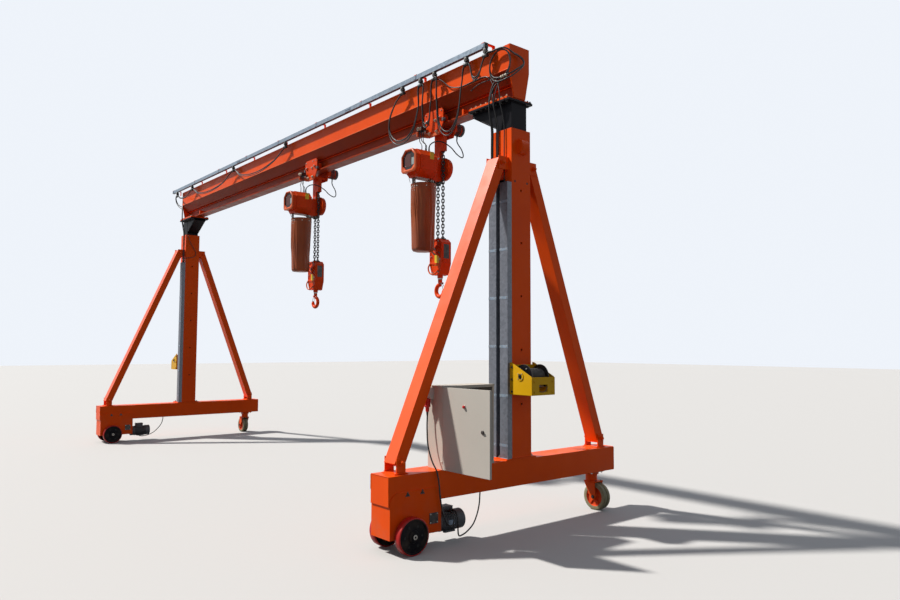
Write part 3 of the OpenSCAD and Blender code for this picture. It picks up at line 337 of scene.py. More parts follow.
def canvasFinish(name, colour, shade, v):
    made, tree, shader = newMaterial(name)
    mixed = mixColour(tree, band(tree, noiseAt(tree, 6.0, 6.0, (1, 1, 0.3)), 0.35, 0.7), colour, shade)
    scuffs = band(tree, noiseAt(tree, 14.0, 6.0, (1, 1, 0.12)), 0.6, 0.74, 0.0, v["scuffs"])
    mixed = mixColour(tree, scuffs, mixed, v["scuffColour"])
    tree.links.new(mixed, shader.inputs["Base Color"])
    weaves = []
    for axis in (0, 2):
        coords = objectCoords(tree)
        wave = place(tree, "ShaderNodeTexWave", {"Vector": coords, "Scale": v["weave"], "Distortion": 0.4},
                     bands_direction=("X", "Y", "Z")[axis])
        weaves.append(wave.outputs["Fac"])
    cloth = bumpFrom(tree, math2(tree, "MULTIPLY", weaves[0], weaves[1]), 0.12, 0.0008)
    tree.links.new(bumpFrom(tree, noiseAt(tree, 22.0, 4.0, (1, 1, 0.35)), 0.5, 0.006, cloth),
            shader.inputs["Normal"])
    tree.links.new(band(tree, noiseAt(tree, 9.0), 0.3, 0.7, v["rough"][0], v["rough"][1]),
            shader.inputs["Roughness"])
    shader.inputs["Specular IOR Level"].default_value = 0.24
    return made


finishes["zinc"] = galvanised("zinc", (0.27, 0.34, 0.42), (0.19, 0.25, 0.32), zincValues)
finishes["ductZinc"] = galvanised("ductZinc", (0.17, 0.185, 0.22), (0.12, 0.132, 0.16), zincValues)
softColours = {
    "redTyre": ((0.50, 0.012, 0.01), (0.38, 0.01, 0.009), 0.42), "creamTyre": ((0.30, 0.27, 0.16), (0.22,
            0.19, 0.11), 0.5),
    "cable": ((0.007, 0.007, 0.008), (0.013, 0.012, 0.012), 0.4), "redPlastic": ((0.62, 0.02, 0.015), (0.5,
            0.016, 0.012), 0.35),
    # Near-black for flat hole discs: painted shade standing in for the inside of the holes
    "whitePlastic": ((0.66, 0.64, 0.60), (0.58, 0.56, 0.52), 0.4), "hole": ((0.004, 0.004, 0.004), (0.007,
            0.007, 0.007), 0.6),
    "label": ((0.82, 0.60, 0.03), (0.72, 0.52, 0.025), 0.4), "darkPlate": ((0.016, 0.015, 0.017), (0.026,
            0.025, 0.028), 0.4),
    "plateGrey": ((0.36, 0.42, 0.42), (0.30, 0.35, 0.35), 0.4), "plateBrown": ((0.10, 0.022, 0.018), (0.07,
            0.017, 0.014), 0.4),
    "plasticBlack": ((0.02, 0.02, 0.022), (0.03, 0.03, 0.033), 0.35), "plasticGrey": ((0.42, 0.42, 0.41),
            (0.36, 0.36, 0.35), 0.45),
    "plasticGreen": ((0.06, 0.28, 0.08), (0.05, 0.22, 0.07), 0.4), "lampRed": ((0.62, 0.015, 0.01), (0.5,
            0.012, 0.01), 0.2),
    "wireBlue": ((0.02, 0.08, 0.35), (0.02, 0.06, 0.28), 0.4), "wireYellow": ((0.5, 0.42, 0.03), (0.4,
            0.34, 0.03), 0.4),
    "creamBolt": ((0.66, 0.58, 0.44), (0.52, 0.45, 0.34), 0.35)}
for name, (colour, shade, rough) in softColours.items():
    finishes[name] = softFinish(name, colour, shade, rough)
finishes["chain"] = steelFinish("chainSteel", (0.012, 0.012, 0.013), (0.024, 0.023, 0.022), 0.35, 0.25)
finishes["steel"] = steelFinish("boltSteel", (0.40, 0.39, 0.36), (0.26, 0.25, 0.23), 0.35, 0.7)
finishes["darkSteel"] = steelFinish("darkSteel", (0.035, 0.034, 0.034), (0.06, 0.057, 0.055), 0.4)
finishes["rope"] = steelFinish("wireRope", (0.02, 0.019, 0.018), (0.045, 0.042, 0.038), 0.4, 0.3)
canvasValues = {"scuffs": 0.45, "scuffColour": (0.42, 0.13, 0.045), "weave": 260.0, "rough": (0.34, 0.5)}
finishes["canvas"] = canvasFinish("canvas", (0.34, 0.072, 0.016), (0.15, 0.030, 0.008), canvasValues)
finishes["canvasBand"] = canvasFinish("canvasBand", (0.30, 0.070, 0.020), (0.22, 0.05, 0.015), canvasValues)
finishes["canvasDark"] = canvasFinish("canvasDark", (0.05, 0.014, 0.007), (0.03, 0.010, 0.006), canvasValues)


def finishOf(nodeName):
    rules = [("inner_mast", "black"), ("cable_rail", "zinc"), ("duct", "ductZinc"), ("carriers",
            "darkSteel"),
             ("winch_frame", "yellow"), ("winch_drum", "darkSteel"), ("drive_motor", "motor"),
             ("drive_wheels", "redTyre"), ("caster_wheel", "creamTyre"), ("load_chain", "chain"),
             ("chain_bag", "canvas"), ("cabinet_door", "door"), ("cabinet", "cabinet"), ("power_inlet",
                     "redPlastic"),
             # The runway beam takes the darker orange that paints the shade under the girder
             ("hoist_body", "hoistOrange"), ("runway", "underShade"), ("trolley", "hoistOrange"), ("hook",
                     "hoistOrange")]
    for word, finish in rules:
        if word in nodeName and nodeName != "trolley_stops":
            return finishes[finish]
    return finishes["orange"]


for name, thing in nodes.items():
    thing.data.materials.clear()
    thing.data.materials.append(finishOf(name))
    if "braces" in name:
        thing.data.materials.append(finishes["sunny"])
        for face in thing.data.polygons:
            face.material_index = 1 if face.normal.y < -0.5 and face.normal.z > 0.1 else 0
    # The girder box's downward faces take the darker orange: painted shade
    if name == "girder_box":
        thing.data.materials.append(finishes["underShade"])
        for face in thing.data.polygons:
            face.material_index = 1 if face.normal.z < -0.3 else 0
print("CAD nodes dressed")

# Cables, on the routes of the CAD source


def unit(v):
    return v / v.length


def smoothRoute(points, steps):
    line = []
    for i in range(len(points) - 1):
        a, b = points[i], points[i + 1]
        length = (b - a).length
        leave = unit(points[i + 1] - points[max(i - 1, 0)]) * length
        reach = unit(points[min(i + 2, len(points) - 1)] - points[i]) * length
        for k in range(steps):
            t = k / steps
            line.append((2 * t**3 - 3 * t**2 + 1) * a + (t**3 - 2 * t**2 + t) * leave
                        + (3 * t**2 - 2 * t**3) * b + (t**3 - t**2) * reach)
    line.append(points[-1])
    return line


coilValues = {"radius": 135, "at": (10, -156, 4350), "turns": 1, "rise": 16 * 1.15 / 12}
coil = [(coilValues["at"][0] + coilValues["radius"] * math.cos(math.radians(-95 + i * 30)),
         coilValues["at"][1] - i * coilValues["rise"],
         coilValues["at"][2] + coilValues["radius"] * math.sin(math.radians(-95 + i * 30)))
        for i in range(12 * coilValues["turns"] + 1)]
routes = {
    "near_festoon": [
        (-105, -150, 1600), (-105, -150, 3560), (-105, -150, 3740), (-112, -176, 3880),
        (-112, -192, 4000), (-94, -182, 4110), (-72, -171, 4172), (-36, -159, 4208)] + coil + [
        (50, -177, 4211), (105, -174, 4214), (150, -148, 4230), (172, -100, 4266), (176, -45, 4308),
        (166, 2, 4354), (146, 4, 4400), (134, -36, 4426), (134, -84, 4432), (140, -128, 4436),
        (134, -164, 4450), (104, -185, 4472), (50, -188, 4486), (-60, -189, 4490),
        (-160, -192, 4485.7), (-300, -200, 4300), (-440, -192, 4485.7), (-500, -204, 4300),
        (-560, -212, 3980), (-690, -214, 3850), (-840, -212, 3960), (-902, -206, 4280),
        (-950, -200, 4485.7), (-998, -206, 4240), (-1070, -208, 4020), (-1145, -204, 4240),
        (-1190, -192, 4485.7), (-1215, -206, 4240), (-1320, -220, 3990), (-1520, -226, 3930),
        (-1700, -220, 4040), (-1745, -210, 4230), (-1640, -200, 4400), (-1520, -192, 4485.7)],
    "near_head_cable": [
        (-45, -138, 1650), (-45, -138, 3560), (-45, -138, 3740), (-52, -160, 3860),
        (-60, -186, 3960), (-66, -188, 4040), (-95, -152, 4160), (-145, -145, 4245),
        (-230, -138.5, 4300), (-400, -138, 4302), (-600, -138.5, 4302), (-740, -152, 4340),
        (-860, -168, 4436), (-950, -181, 4487.2)],
    "far_festoon": [
        (-8395, -150, 1600), (-8395, -150, 3560), (-8395, -150, 3740), (-8400, -176, 3880),
        (-8410, -192, 4000), (-8450, -180, 4130), (-8530, -158, 4240), (-8660, -164, 4290),
        (-8770, -176, 4370), (-8790, -188, 4440), (-8755, -191, 4482), (-8700, -192, 4485.7),
        (-8600, -198, 4450), (-8500, -206, 4410), (-8300, -208, 4390), (-8100, -204, 4420),
        (-7940, -192, 4485.7), (-7600, -206, 4360), (-7050, -210, 4310), (-6480, -206, 4360),
        (-6130, -192, 4485.7), (-5800, -206, 4350), (-5230, -210, 4285), (-4650, -206, 4350),
        (-4330, -192, 4485.7)],
    "hoist": [
        (50, -200, 3712.3), (50, -200, 3745), (56, -190, 3785), (80, -148, 3820), (118, -75, 3824),
        (148, 20, 3775), (152, 100, 3715), (140, 180, 3695), (104, 232, 3735), (56, 246, 3815), (0, 232,
                3905),
        (0, 230, 3979.7)],
    "power_lead": [
        (-30, -989, 1099.7), (-30, -989, 1060), (-24, -995, 960), (4, -1006, 820), (70, -1015, 700),
        (134, -1016, 625), (156, -1010, 540), (158, -998, 430), (159, -978, 320), (161, -945, 225),
        (163, -905, 172), (164, -868, 168), (162, -848, 205), (146, -845, 248), (112, -845, 266),
        (75.3, -845, 267)],
    "motor_cable": [
        (0, -408, 389.7), (0, -409, 345), (14, -430, 260), (40, -480, 180), (66, -550, 110),
        (88, -640, 66), (110, -720, 52), (132, -770, 62), (148, -793, 112), (154, -797, 180),
        (143, -797, 238), (112, -797, 265), (75.3, -797, 267)],
    "far_collar_cable": [
        (-125.3, -95, 3690), (-143, -95, 3689), (-160, -91, 3668), (-162, -80, 3630),
        (-152, -40, 3545), (-141, 20, 3462), (-137, 58, 3390), (-137, 40, 3325), (-137, -30, 3292),
        (-138, -90, 3284), (-140, -142, 3268), (-122, -169, 3238), (-88, -171, 3200),
        (-68, -171, 3150), (-66, -171, 3050), (-66, -171, 1650)],
}
cableValues = {"festoon": 0.016, "lead": 0.013, "collar": 0.010, "jumper": 0.009, "steps": 8,
        "nearHoist": -1080,
               "farHoist": -3750}


def makeCable(name, points, diameter, body, node=None):
    line = smoothRoute(points, cableValues["steps"])
    data = bpy.data.curves.new(name, "CURVE")
    data.dimensions = "3D"
    data.bevel_depth = diameter / 2
    data.bevel_resolution = 2
    data.use_fill_caps = True
    spline = data.splines.new("POLY")
    spline.points.add(len(line) - 1)
    for point, where in zip(spline.points, line):
        point.co = (*where, 1)
    spline.use_smooth = True
    cable = bpy.data.objects.new(name, data)
    bpy.context.scene.collection.objects.link(cable)
    data.materials.append(finishes["cable"])
    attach(cable, body)
    if node:
        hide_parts(node)


def layCable(node, route, size, body, at=fromNear, offset=0):
    makeCable(node + "Cable", [at(x + offset, y, z) for x, y, z in routes[route]], cableValues[size], body,
            node)


layCable("near_festoon", "near_festoon", "festoon", "girder")
layCable("near_head_cable", "near_head_cable", "lead", "girder")
layCable("far_festoon", "far_festoon", "festoon", "girder")
layCable("near_hoist_cable", "hoist", "lead", "near_hoist", fromNear, cableValues["nearHoist"])
layCable("far_hoist_cable", "hoist", "lead", "far_hoist", fromNear, cableValues["farHoist"])
layCable("power_lead", "power_lead", "lead", "near_leg")
layCable("motor_cable", "motor_cable", "lead", "near_leg")
layCable("far_motor_cable", "motor_cable", "lead", "far_leg", fromFar)
layCable("far_collar_cable", "far_collar_cable", "collar", "far_leg", fromFar)

# Loose strands beside the main ones, as the photograph shows them
strandValues = {"beside": 7, "out": 9, "inDuct": 17, "ductTop": 3800, "rail": 4486, "reach": 300, "drop": 44}
looseRoutes = {
    "nearHeadStrand": [
        (-64, -138, 1650), (-64, -138, 3560), (-64, -138, 3740), (-60, -160, 3860), (-50, -188, 3960),
        (-38, -190, 4040), (-8, -180, 4130), (30, -172, 4190), (62, -162, 4220)],
    "nearPanelStrand": [
        (40, -138, 1650), (40, -138, 3560), (40, -138, 3740), (38, -160, 3860), (34, -188, 3960),
        (30, -190, 4040), (4, -178, 4130), (-40, -164, 4200), (-80, -152, 4224)],
    "nearKneeStrand": [
        (-470, -106, 4240), (-440, -126, 4222), (-380, -142, 4232), (-298, -140, 4250), (-190, -146, 4246),
        (-83, -150, 4240), (-10, -158, 4226), (44, -172, 4228)],
}


def strandBeside(points, v):
    line = []
    for x, y, z in points:
        hang = min(max((v["rail"] - z) / v["reach"], 0), 1) if z > v["ductTop"] else 0
        out = v["out"] if z > v["ductTop"] else v["inDuct"]
        side = v["beside"] if z > v["ductTop"] else 0
        line.append(fromNear(x + side, y - out, z - v["drop"] * hang))
    return line


for route in ("near_festoon", "far_festoon"):
    makeCable(route.replace("_f", "F") + "Strand", strandBeside(routes[route], strandValues),
              cableValues["lead"], "girder")
for name, points in looseRoutes.items():
    makeCable(name, [fromNear(*p) for p in points], cableValues["collar"], "girder")
print("cables made")

# Mesh helpers: every size is in millimetres from the near mast axis, placed by a side's own map


def planFrame(direction):
    ahead = Vector(direction).normalized()
    side = ahead.cross(Vector((0, 0, 1)) if abs(ahead.z) < 0.9 else Vector((1, 0, 0))).normalized()
    return ahead, side, ahead.cross(side)


def addBox(bm, at, low, high, mat=0):
    corners = [(x, y, z) for x in (low[0], high[0]) for y in (low[1], high[1]) for z in (low[2], high[2])]
    verts = [bm.verts.new(at(*c)) for c in corners]
    for ids in ((0, 1, 3, 2), (4, 6, 7, 5), (0, 4, 5, 1), (2, 3, 7, 6), (0, 2, 6, 4), (1, 5, 7, 3)):
        bm.faces.new([verts[i] for i in ids]).material_index = mat


def addLathe(bm, at, centre, direction, profile, mats=0, sides=24, turn=0.0):
    ahead, side, up = planFrame(direction)
    rings = []
    for along, radius in profile:
        hub = Vector(centre) + ahead * along
        if radius < 0.01:
            rings.append([bm.verts.new(at(*hub))])
            continue
        ring = []
        for k in range(sides):
            a = 2 * math.pi * k / sides + turn
            ring.append(bm.verts.new(at(*(hub + side * radius * math.cos(a) + up * radius * math.sin(a)))))
        rings.append(ring)
    for i, (a, b) in enumerate(zip(rings, rings[1:])):
        mat = mats[i] if isinstance(mats, (list, tuple)) else mats
        for k in range(sides):
            n = (k + 1) % sides
            loop = [a[k % len(a)], a[n % len(a)], b[n % len(b)], b[k % len(b)]]
            loop = list(dict.fromkeys(loop))
            if len(loop) > 2:
                bm.faces.new(loop).material_index = mat


def addRod(bm, at, start, end, radius, mat=0, sides=20, chamfer=0.0):
    start, end = Vector(start), Vector(end)
    length = (end - start).length
    c = min(chamfer, radius * 0.6, length * 0.4)
    profile = [(0, 0), (0, radius - c), (c, radius), (length - c, radius), (length, radius - c), (length, 0)]
    if c == 0:
        profile = [(0, 0), (0, radius), (length, radius), (length, 0)]
    addLathe(bm, at, start, end - start, profile, mat, sides)


def addBolt(bm, at, where, direction, size, mat=0, thread=0.0):
    ahead = Vector(direction).normalized()
    addLathe(bm, at, where, direction, [(0, 0), (0, size * 1.1), (size * 0.18, size * 1.1), (size * 0.2,
            0)], mat, 20)
    head = Vector(where) + ahead * size * 0.18
    addLathe(bm, at, head, direction, [(0, 0), (0, size * 0.86), (size * 0.1, size * 0.92), (size * 0.52,
            size * 0.92),
                                       (size * 0.64, size * 0.78), (size * 0.64,
                                               0)], mat, 6, dice.uniform(0, 1))
    if thread:
        addRod(bm, at, head, head + ahead * (size * 0.64 + thread), size * 0.5, mat, 12, size * 0.08)


def addWeld(bm, at, start, end, radius, mat=0, step=1.1):
    start, end = Vector(start), Vector(end)
    ahead, side, up = planFrame(end - start)
    length = (end - start).length
    count = max(2, int(length / (radius * step)))
    rings = []
    for i in range(count + 1):
        r = radius * (0.82 + 0.2 * (i % 2) + dice.uniform(-0.08, 0.08))
        r = r * 0.35 if i in (0, count) else r
        hub = start + ahead * (length * i / count)
        rings.append([bm.verts.new(at(*(hub + side * r * math.cos(a) + up * r * math.sin(a))))
                      for a in (k * math.pi / 3 for k in range(6))])
    for a, b in zip(rings, rings[1:]):
        for k in range(6):
            bm.faces.new([a[k], a[(k + 1) % 6], b[(k + 1) % 6], b[k]]).material_index = mat
    bm.faces.new(rings[0]).material_index = mat
    bm.faces.new(rings[-1]).material_index = mat


def addTube(bm, at, points, radius, mat=0, sides=10, steps=6, closed=False):
    line = smoothRoute([Vector(p) for p in points], steps) if steps > 1 else [Vector(p) for p in points]
    last = None
    rings = []
    for i, p in enumerate(line):
        ahead = (line[min(i + 1, len(line) - 1)] - line[max(i - 1, 0)]).normalized()
        if last is None:
            last = planFrame(ahead)[1]
        side = (last - ahead * last.dot(ahead)).normalized()
        last = side
        up = ahead.cross(side)
        r = radius(i / (len(line) - 1)) if callable(radius) else radius
        rings.append([bm.verts.new(at(*(p + side * r * math.cos(a) + up * r * math.sin(a))))
                      for a in (2 * math.pi * k / sides for k in range(sides))])
    for a, b in zip(rings, rings[1:]):
        for k in range(sides):
            bm.faces.new([a[k], a[(k + 1) % sides], b[(k + 1) % sides], b[k]]).material_index = mat
    bm.faces.new(rings[0]).material_index = mat
    bm.faces.new(rings[-1]).material_index = mat


def addPlate(bm, at, outline, plane, low, high, mat=0):
    def corner(a, b, depth):
        return at(*{"x": (depth, a, b), "y": (a, depth, b), "z": (a, b, depth)}[plane])
    rings = [[bm.verts.new(corner(a, b, d)) for a, b in outline] for d in (low, high)]
    for ring in rings:
        bm.faces.new(ring).material_index = mat
    for k in range(len(outline)):
        n = (k + 1) % len(outline)
        bm.faces.new([rings[0][k], rings[0][n], rings[1][n], rings[1][k]]).material_index = mat


pieceCount = 0


def finishPiece(name, bm, body, materials, bevel=0.0, angle=32, subdivide=0):
    global pieceCount
    bmesh.ops.recalc_face_normals(bm, faces=bm.faces)
    mesh = bpy.data.meshes.new(name)
    bm.to_mesh(mesh)
    bm.free()
    for finish in materials:
        mesh.materials.append(finishes[finish])
    mesh.shade_smooth()
    mesh.set_sharp_from_angle(angle=math.radians(angle))
    made = bpy.data.objects.new(name, mesh)
    bpy.context.scene.collection.objects.link(made)
    if bevel:
        edge = made.modifiers.new("edges", "BEVEL")
        edge.width = bevel / 1000
        edge.segments = 2
        edge.limit_method = "ANGLE"
        edge.angle_limit = math.radians(40)
        edge.harden_normals = True
    if subdivide:
        smooth = made.modifiers.new("smooth", "SUBSURF")
        smooth.levels = smooth.render_levels = subdivide
    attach(made, body)
    pieceCount += 1
    return made


# Girder: welds, head bolts and rail fittings
girderValues = {"under": 4020, "flange": 75, "knee": 4290, "half": 130, "troughZ": 4170, "troughHalf": 50,
                "top": 4530, "nearEnd": 100, "farEnd": -8600, "weld": 5}


def makeGirderWelds(v):
    bm = bmesh.new()
    for side in (-1, 1):
        addWeld(bm, fromNear, (v["farEnd"], side * (v["half"] - 1), v["knee"]),
                (v["nearEnd"], side * (v["half"] - 1), v["knee"]), v["weld"], 1, 2.4)
        addWeld(bm, fromNear, (v["farEnd"], side * 7, v["under"] + 15),
                (v["nearEnd"], side * 7, v["under"] + 15), v["weld"], 0, 3)
        addWeld(bm, fromNear, (v["farEnd"], side * 7, v["troughZ"] - 2),
                (v["nearEnd"], side * 7, v["troughZ"] - 2), v["weld"], 0, 3)
        for x in (v["nearEnd"], v["farEnd"]):
            addWeld(bm, fromNear, (x, side * 129, v["knee"]), (x, side * 129, v["top"] - 3), 4, 0)
            addWeld(bm, fromNear, (x, side * 76, v["under"] + 14), (x, side * 129, v["knee"]), 4, 0)
    for x in (v["nearEnd"], v["farEnd"]):
        addWeld(bm, fromNear, (x, -128, v["top"] - 1), (x, 128, v["top"] - 1), 4, 0)
    finishPiece("girderWelds", bm, "girder", ["orange", "weldBead"], angle=60)


headValues = {"in": -450, "out": 125, "edge": 140, "plateLow": 3980, "plateHigh": 4020, "gusset": 3760,
        "tip": 3955,
              "bolts": 8, "first": -425, "pitch": 72}


def makeHeadBolts(v):
    bm = bmesh.new()
    for at in (fromNear, fromFar):
        for side in (-1, 1):
            for k in range(v["bolts"]):
                x = v["first"] + k * v["pitch"]
                addBolt(bm, at, (x, side * v["edge"], v["plateHigh"]), (0, 0, 1), 13, 2 if side < 0 else 0,
                        9)
                addBolt(bm, at, (x, side * v["edge"], v["plateLow"]), (0, 0, -1), 13, 0)
            addWeld(bm, at, (v["in"] + 6, side * 101, 3978), (-100, side * 101, 3978), 5, 1)
            addWeld(bm, at, (-102, side * 98, v["gusset"] + 6), (-102, side * 98, 3975), 5, 1)
            addWeld(bm, at, (-100, side * 102, 3979), (100, side * 102, 3979), 5, 1)
            addWeld(bm, at, (v["in"] + 4, side * 98, v["tip"]), (-104, side * 98, v["gusset"]), 4, 1)
        addWeld(bm, at, (102, -100, 3979), (102, 100, 3979), 5, 1)
        addBolt(bm, at, (v["out"] - 14, v["edge"], 4000), (0, 0, 1), 15, 0, 10)
    finishPiece("headBolts", bm, "girder", ["darkSteel", "black", "creamBolt"], angle=40)


railValues = {"y": -192, "low": 4552, "high": 4602, "arms": 9, "pitch": 1088.125, "first": -180,
              "carriers": (160, 440, 950, 1190, 1520, 4330, 6130, 7940, 8700)}


def makeRailFittings(v):
    bm = bmesh.new()
    for i in range(v["arms"]):
        x = v["first"] - i * v["pitch"]
        for y in (v["y"], -148):
            addBolt(bm, fromNear, (x, y, 4608), (0, 0, 1), 9, 0, 5)
        addWeld(bm, fromNear, (x - 19, -72, 4531), (x + 19, -72, 4531), 4, 1)
        addBox(bm, fromNear, (x - 16, v["y"] - 24, 4560), (x + 16, v["y"] - 20.3, 4600), 0)
    for x in (-2650, -5900):
        addBox(bm, fromNear, (x - 60, v["y"] - 23.5, 4554), (x + 60, v["y"] - 20.2, 4598), 0)
        for dx in (-40, -15, 15, 40):
            addBolt(bm, fromNear, (x + dx, v["y"] - 23.5, 4576), (0, -1, 0), 7, 0)
    for x in (-148, -8917):
        way = 1 if x > -200 else -1
        addBox(bm, fromNear, (x - 3 * way - 4, v["y"] - 21, 4551), (x - 3 * way + 4, v["y"] + 21, 4604), 2)
    finishPiece("railFittings", bm, "girder", ["zinc", "orange", "darkSteel"], 1.2)
    bm = bmesh.new()
    for x in v["carriers"]:
        for z in (4512, 4520):
            addLathe(bm, fromNear, (-x, v["y"] - 18, z), (0, 1, 0), [(0, 0), (-3, 10), (-3, 12), (0, 13)],
                    0, 16)
        addBox(bm, fromNear, (-x - 14, v["y"] - 21, 4524), (-x + 14, v["y"] - 18.2, 4546), 1)
        addBolt(bm, fromNear, (-x, v["y"] - 21, 4535), (0, -1, 0), 7, 1)
        addTube(bm, fromNear, [(-x, v["y"] - 20, 4500), (-x, v["y"] - 14, 4476), (-x, v["y"], 4474.5),
                               (-x, v["y"] + 14, 4477), (-x, v["y"] + 19, 4500)], 1.8, 1, 6, 3)
        addLathe(bm, fromNear, (-x - 34, v["y"] - 3, 4474), (1, 0, 0),
                 [(0, 0), (0, 17), (5, 21), (20, 17), (48, 17), (63, 21), (68, 17), (68, 0)], 2, 20)
    # Pale sleeves on the cable below the coil
    for a, b, r in (((34, -176.5, 4211), (58, -177, 4211), 13), ((66, -176.5, 4211.6), (80, -176, 4212), 15),
                    ((92, -175, 4213), (112, -172.6, 4214.6), 13), ((-92, -149, 4241), (-76, -150, 4240),
                            10)):
        addRod(bm, fromNear, a, b, r, 3, 16, 3)
    finishPiece("carrierClamps", bm, "girder", ["darkSteel", "steel", "cable", "creamBolt"],
            angle=40)


makeGirderWelds(girderValues)
makeHeadBolts(headValues)
makeRailFittings(railValues)
print("girder dressed")

# Masts, braces and ducts
mastValues = {"half": 125, "foot": 641, "top": 3715, "collar": 3240, "braceFoot": 720, "braceTop": 3375,
              "frontFoot": -1345, "rearFoot": 1200, "topPin": 210}


def makeMastDetails(sideName, at, v):
    bm = bmesh.new()
    for side in (-1, 1):
        for x in (-90, 0, 90):
            addBolt(bm, at, (x, side * 160, v["foot"]), (0, 0, 1), 14, 1, 8)
        addWeld(bm, at, (-124, side * 127, v["foot"] + 2), (124, side * 127, v["foot"] + 2), 5)
        addWeld(bm, at, (-124, side * 189, 626), (124, side * 189, 626), 5)
        addWeld(bm, at, (side * 127, -125, v["foot"] + 2), (side * 127, 125, v["foot"] + 2), 5)
        for x in (-86, -76, 76, 86):
            addWeld(bm, at, (x, side * 127, v["braceTop"] - 58), (x, side * 127, v["braceTop"] + 58), 3.5)
        addWeld(bm, at, (-42, side * 126, v["collar"] - 1), (42, side * 126, v["collar"] - 1), 3.5)
    for side in (-1, 1):
        addWeld(bm, at, (126, side * 46, 3477), (126, side * 46, 3613), 4)
    # Flat near-black discs on the collar: painted shade of its holes
    for y in (-81, 81):
        addLathe(bm, at, (125, y, 3209), (1, 0, 0), [(0.6, 11), (0.6, 0)], 2, 20)
    for i in range(5):
        z = 3130 - i * 500
        for way in (-1, 1):
            addLathe(bm, at, (way * 125, 0, z), (way, 0, 0), [(-1, 11.5), (2.5, 11.5), (3, 15), (1.5, 17),
                    (-0.5, 17.5)], 0, 24)
    finishPiece(sideName + "MastDetails", bm, sideName + "_leg", ["orange", "steel",
            "hole"], angle=40)


def makeBraceDetails(sideName, at, v):
    bm = bmesh.new()
    pins = ((v["frontFoot"], v["braceFoot"]), (v["rearFoot"], v["braceFoot"]), (-v["topPin"],
            v["braceTop"]), (v["topPin"], v["braceTop"]))
    for y, z in pins:
        for way in (-1, 1):
            addBolt(bm, at, (way * 100.5, y, z), (way, 0, 0), 20, 0, 7)
    for y in (v["frontFoot"], v["rearFoot"]):
        for way in (-1, 1):
            addWeld(bm, at, (way * 97.5, y - 44, 637), (way * 97.5, y + 44, 637), 5)
            addWeld(bm, at, (way * 97.5, y - 64, 626), (way * 97.5, y + 64, 626), 4)
        for end in (-66, 66):
            addWeld(bm, at, (-97, y + end, 626), (97, y + end, 626), 4)
    for y, z, foot in ((v["frontFoot"], v["braceFoot"], -1), (v["rearFoot"], v["braceFoot"], 1)):
        top = foot * v["topPin"]
        lean = Vector((0, top - y, v["braceTop"] - z)).normalized()
        across = Vector((0, -lean.z * foot, lean.y * foot))
        for end, way in ((Vector((0, y, z)) - lean * 30, 1), (Vector((0, top, v["braceTop"])) + lean * 30,
                -1)):
            for edge in (-1, 1):
                a = end + across * 49 * edge + lean * 2 * way
                addWeld(bm, at, a + Vector((-74, 0, 0)), a + Vector((74, 0, 0)), 3)
    finishPiece(sideName + "BraceDetails", bm, sideName + "_leg", ["orange", "steel"],
            angle=40)


def makeDuctDetails(sideName, at, ducts):
    bm = bmesh.new()
    for x in ducts:
        for k in range(6):
            z = 760 + k * 450
            for dx in (12, 88):
                addBolt(bm, at, (x + dx, -182, z), (0, -1, 0), 6, 1)
            addBox(bm, at, (x - 2, -184, z - 12), (x + 102, -181.8, z + 12), 0)
        addWeld(bm, at, (x + 2, -181, 643), (x + 98, -181, 643), 3)
    finishPiece(sideName + "DuctDetails", bm, sideName + "_leg", ["zinc", "steel"], 0.8)


for sideName, at in sides.items():
    makeMastDetails(sideName, at, mastValues)
    makeBraceDetails(sideName, at, mastValues)
    makeDuctDetails(sideName, at, (-125, 25) if sideName == "near" else (-125,))
print("masts dressed")

# Base beams, drive boxes, motors and wheels
baseValues = {"beamLow": 390, "beamHigh": 625, "front": -1495, "rear": 1360, "cheek": 131, "axleY": -1300,
        "axleZ": 150,
              "wheelIn": 143, "wheelOut": 213, "wheelR": 150, "rimR": 138, "motorY": -963, "motorZ": 170, "motorR": 85}


def makeBaseDetails(sideName, at, v):
    bm = bmesh.new()
    for way in (-1, 1):
        x = way * 125
        addWeld(bm, at, (x, v["rear"], v["beamLow"] + 3), (x, v["rear"], v["beamHigh"] - 3), 4)
        addWeld(bm, at, (x, v["front"], 500), (x, v["front"], v["beamHigh"] - 3), 4)
        addWeld(bm, at, (x * 1.03, -960, 395), (x * 1.03, -960, 490), 4)
        # Dark triangular plates under the cheek bolts: painted shadow cast by the bolt heads
        for y, z in ((-1311, 469), (-1161, 472)):
            addLathe(bm, at, (way * v["cheek"], y, z), (way, 0, 0), [(0, 0), (0, 27), (3, 27), (4, 0)], 1,
                    3, 0.5)
            addBolt(bm, at, (way * (v["cheek"] + 3), y, z), (way, 0, 0), 11, 1, 4)
        addBox(bm, at, (min(way * 131, way * 135), -1088, 203), (max(way * 131, way * 135), -998, 291), 1)
        for dy in (-35, 35):
            for dz in (-34, 34):
                addBolt(bm, at, (way * 135, -1043 + dy, 247 + dz), (way, 0, 0), 6, 2)
        addLathe(bm, at, (way * 131, v["axleY"], v["axleZ"]), (way, 0, 0),
                 [(0, 26), (0, 62), (3, 64), (9, 62), (9, 27)], 1, 36)
        for a in range(6):
            angle = math.radians(a * 60 + 30)
            addBolt(bm, at, (way * 134, v["axleY"] + 48 * math.cos(angle),
                    v["axleZ"] + 48 * math.sin(angle)),
                    (way, 0, 0), 5, 2)
    for end in (v["front"], v["rear"]):
        way = -1 if end < 0 else 1
        addWeld(bm, at, (-122, end, v["beamHigh"] - 1), (122, end, v["beamHigh"] - 1), 4)
    for x in (-70, 70):
        for y in (1070, 1230):
            addBolt(bm, at, (x, y, 377), (0, 0, -1), 11, 2, 6)
    finishPiece(sideName + "BaseDetails", bm, sideName + "_leg", ["orange", "darkSteel",
            "steel"], 0.8)


